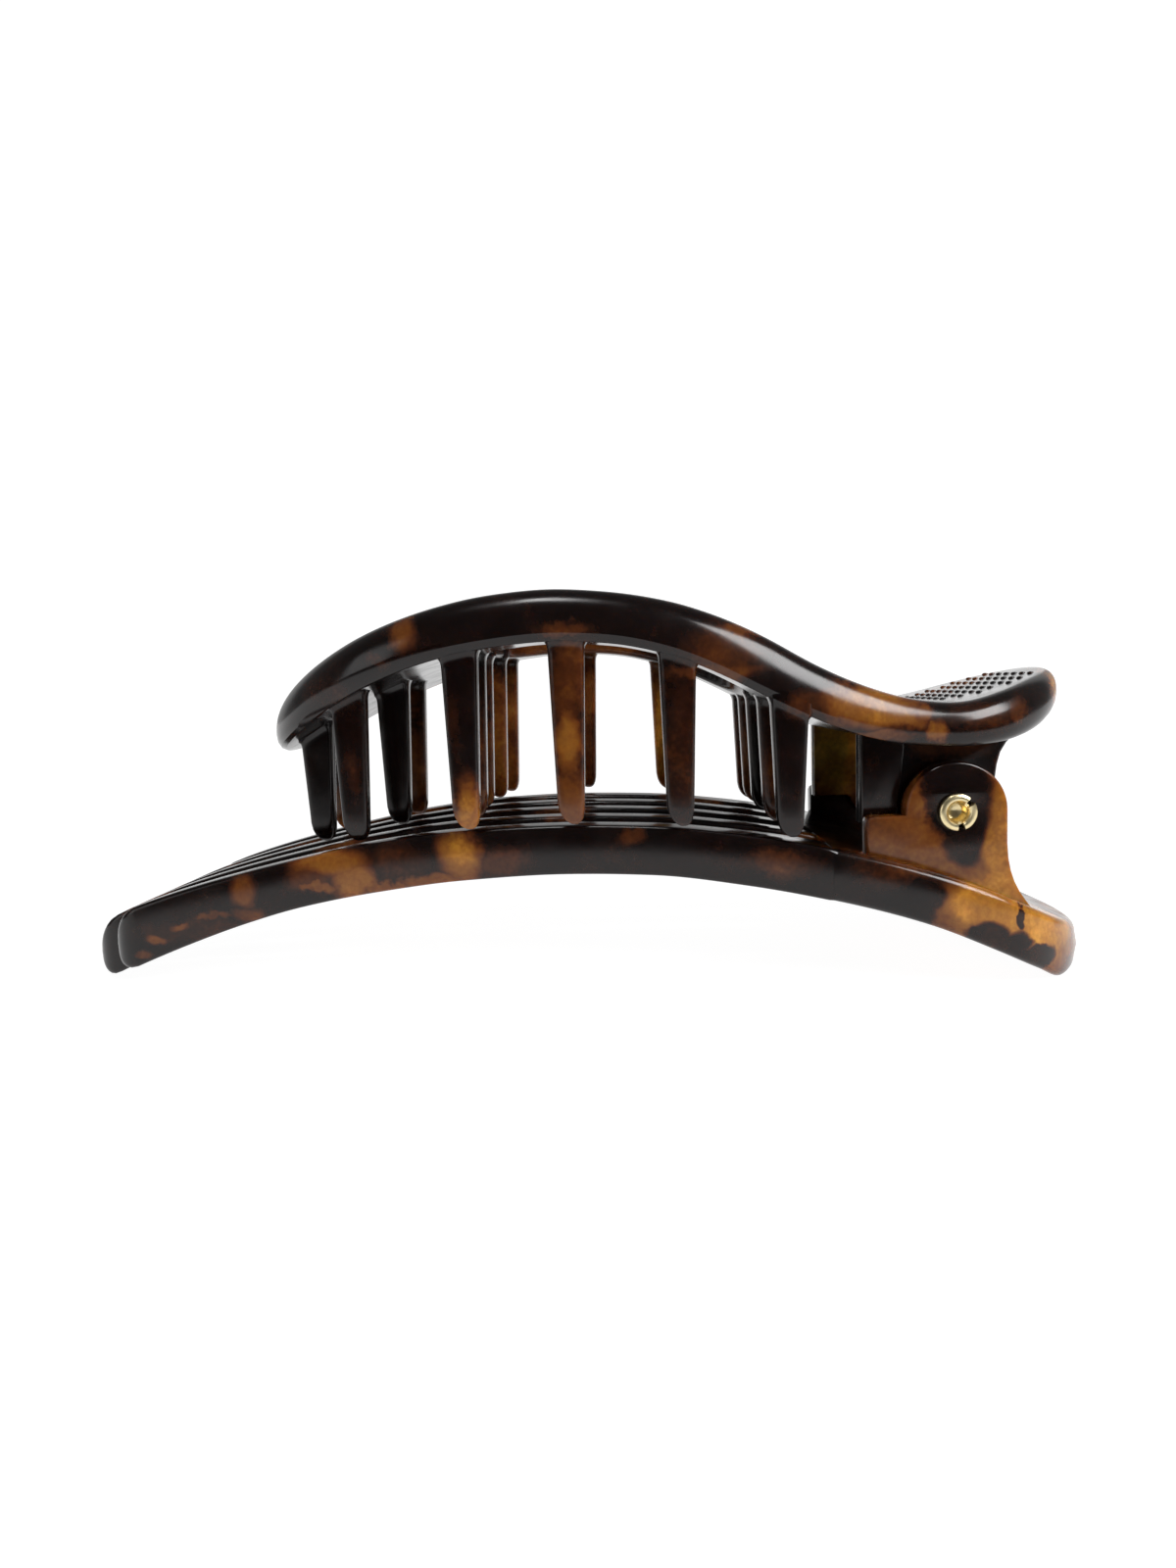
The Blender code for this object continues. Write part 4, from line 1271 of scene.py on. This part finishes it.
def make_world():
    """What the gloss mirrors: grey behind the clip and at the sides, and dim behind the camera."""
    world = bpy.data.worlds.new("studio")
    world.use_nodes = True
    tree = world.node_tree
    coordinates = tree.nodes.new("ShaderNodeTexCoord")
    separate = tree.nodes.new("ShaderNodeSeparateXYZ")
    tree.links.new(coordinates.outputs["Generated"], separate.inputs[0])

    def faded(axis, limits, low, high):
        node = tree.nodes.new("ShaderNodeMapRange")
        node.interpolation_type = "SMOOTHSTEP"
        node.inputs["From Min"].default_value = limits[0]
        node.inputs["From Max"].default_value = limits[1]
        node.inputs["To Min"].default_value = low
        node.inputs["To Max"].default_value = high
        tree.links.new(separate.outputs[axis], node.inputs["Value"])
        return node.outputs["Result"]

    def combined(operation, first, second):
        node = tree.nodes.new("ShaderNodeMath")
        node.operation = operation
        tree.links.new(first, node.inputs[0])
        tree.links.new(second, node.inputs[1])
        return node.outputs[0]

    behind = faded("Y", BEHIND_Y, 0.0, WORLD_BEHIND - WORLD_SIDES)
    low = faded("Z", TOP_Z, WORLD_TOP_SHARE, 1.0)
    sides = faded("Y", SIDES_Y, WORLD_FRONT, WORLD_SIDES)
    strength = combined("ADD", combined("MULTIPLY", behind, low), sides)
    background = tree.nodes["Background"]
    tree.links.new(strength, background.inputs["Strength"])
    background.inputs["Color"].default_value = WHITE
    bpy.context.scene.world = world


def make_lamps():
    """Square softboxes that light the clip and show in its gloss, but not in the picture itself."""
    for lamp in LAMPS:
        light = bpy.data.lights.new(lamp.name, "AREA")
        light.shape = "SQUARE"
        light.size = lamp.size
        light.energy = lamp.power
        obj = bpy.data.objects.new(lamp.name, light)
        obj.location = lamp.place
        aim = Vector(LAMP_AIM) - obj.location
        obj.rotation_euler = aim.to_track_quat("-Z", "Y").to_euler()
        obj.visible_camera = False
        bpy.context.scene.collection.objects.link(obj)


def make_camera():
    """A camera whose depth direction vanishes where the photograph's does."""
    depth = Vector((VANISH_RIGHT, VANISH_UP, FOCAL_PIXELS)).normalized()
    roll = math.radians(CAMERA_ROLL)
    level = Vector((math.cos(roll), math.sin(roll), 0.0))
    sideways = (level - depth * level.dot(depth)).normalized()
    upward = -sideways.cross(depth)
    # Each vector holds a world axis as right, up and forward parts, so a row of them is a camera axis.
    right = Vector((sideways[0], depth[0], upward[0]))
    up = Vector((sideways[1], depth[1], upward[1]))
    forward = Vector((sideways[2], depth[2], upward[2]))
    camera = bpy.data.cameras.new("photo_camera")
    camera.sensor_width = SENSOR
    camera.lens = SENSOR * FOCAL_PIXELS / IMAGE_LONG_SIDE
    camera.clip_start = CLIP_START
    camera.clip_end = CLIP_END
    obj = bpy.data.objects.new("photo_camera", camera)
    turn = Matrix((right, up, -forward)).transposed()
    place = Vector(CAMERA_PLACE) + Vector((SHIFT_X, 0.0, 0.0))
    obj.matrix_world = Matrix.Translation(place * MM) @ turn.to_4x4()
    bpy.context.scene.collection.objects.link(obj)
    bpy.context.scene.camera = obj


def main():
    base_plastic = tortoiseshell("tortoiseshell_base", BASE_PATCHES_AND_GLOW, BASE_DARK, BASE_CLOUD_DEPTHS)
    upper_plastic = tortoiseshell("tortoiseshell_upper", UPPER_PATCHES_AND_GLOW, [], UPPER_CLOUD_DEPTHS)
    brass = polished_metal("brass", BRASS)
    steel = polished_metal("spring_steel", SPRING_STEEL)
    make_base_arm(base_plastic)
    make_upper_arm(upper_plastic)
    make_grip_dots(upper_plastic)
    make_rivet(brass)
    coil = make_wire("steel_coil", spring_coil_points(), steel, "base", "spring_coil")
    end = make_wire("steel_coil_end", spring_end_points(), steel, "upper", "spring_end")
    make_floor()
    make_backdrop()
    make_world()
    make_lamps()
    make_camera()
    bpy.context.scene.view_settings.view_transform = "Standard"


main()
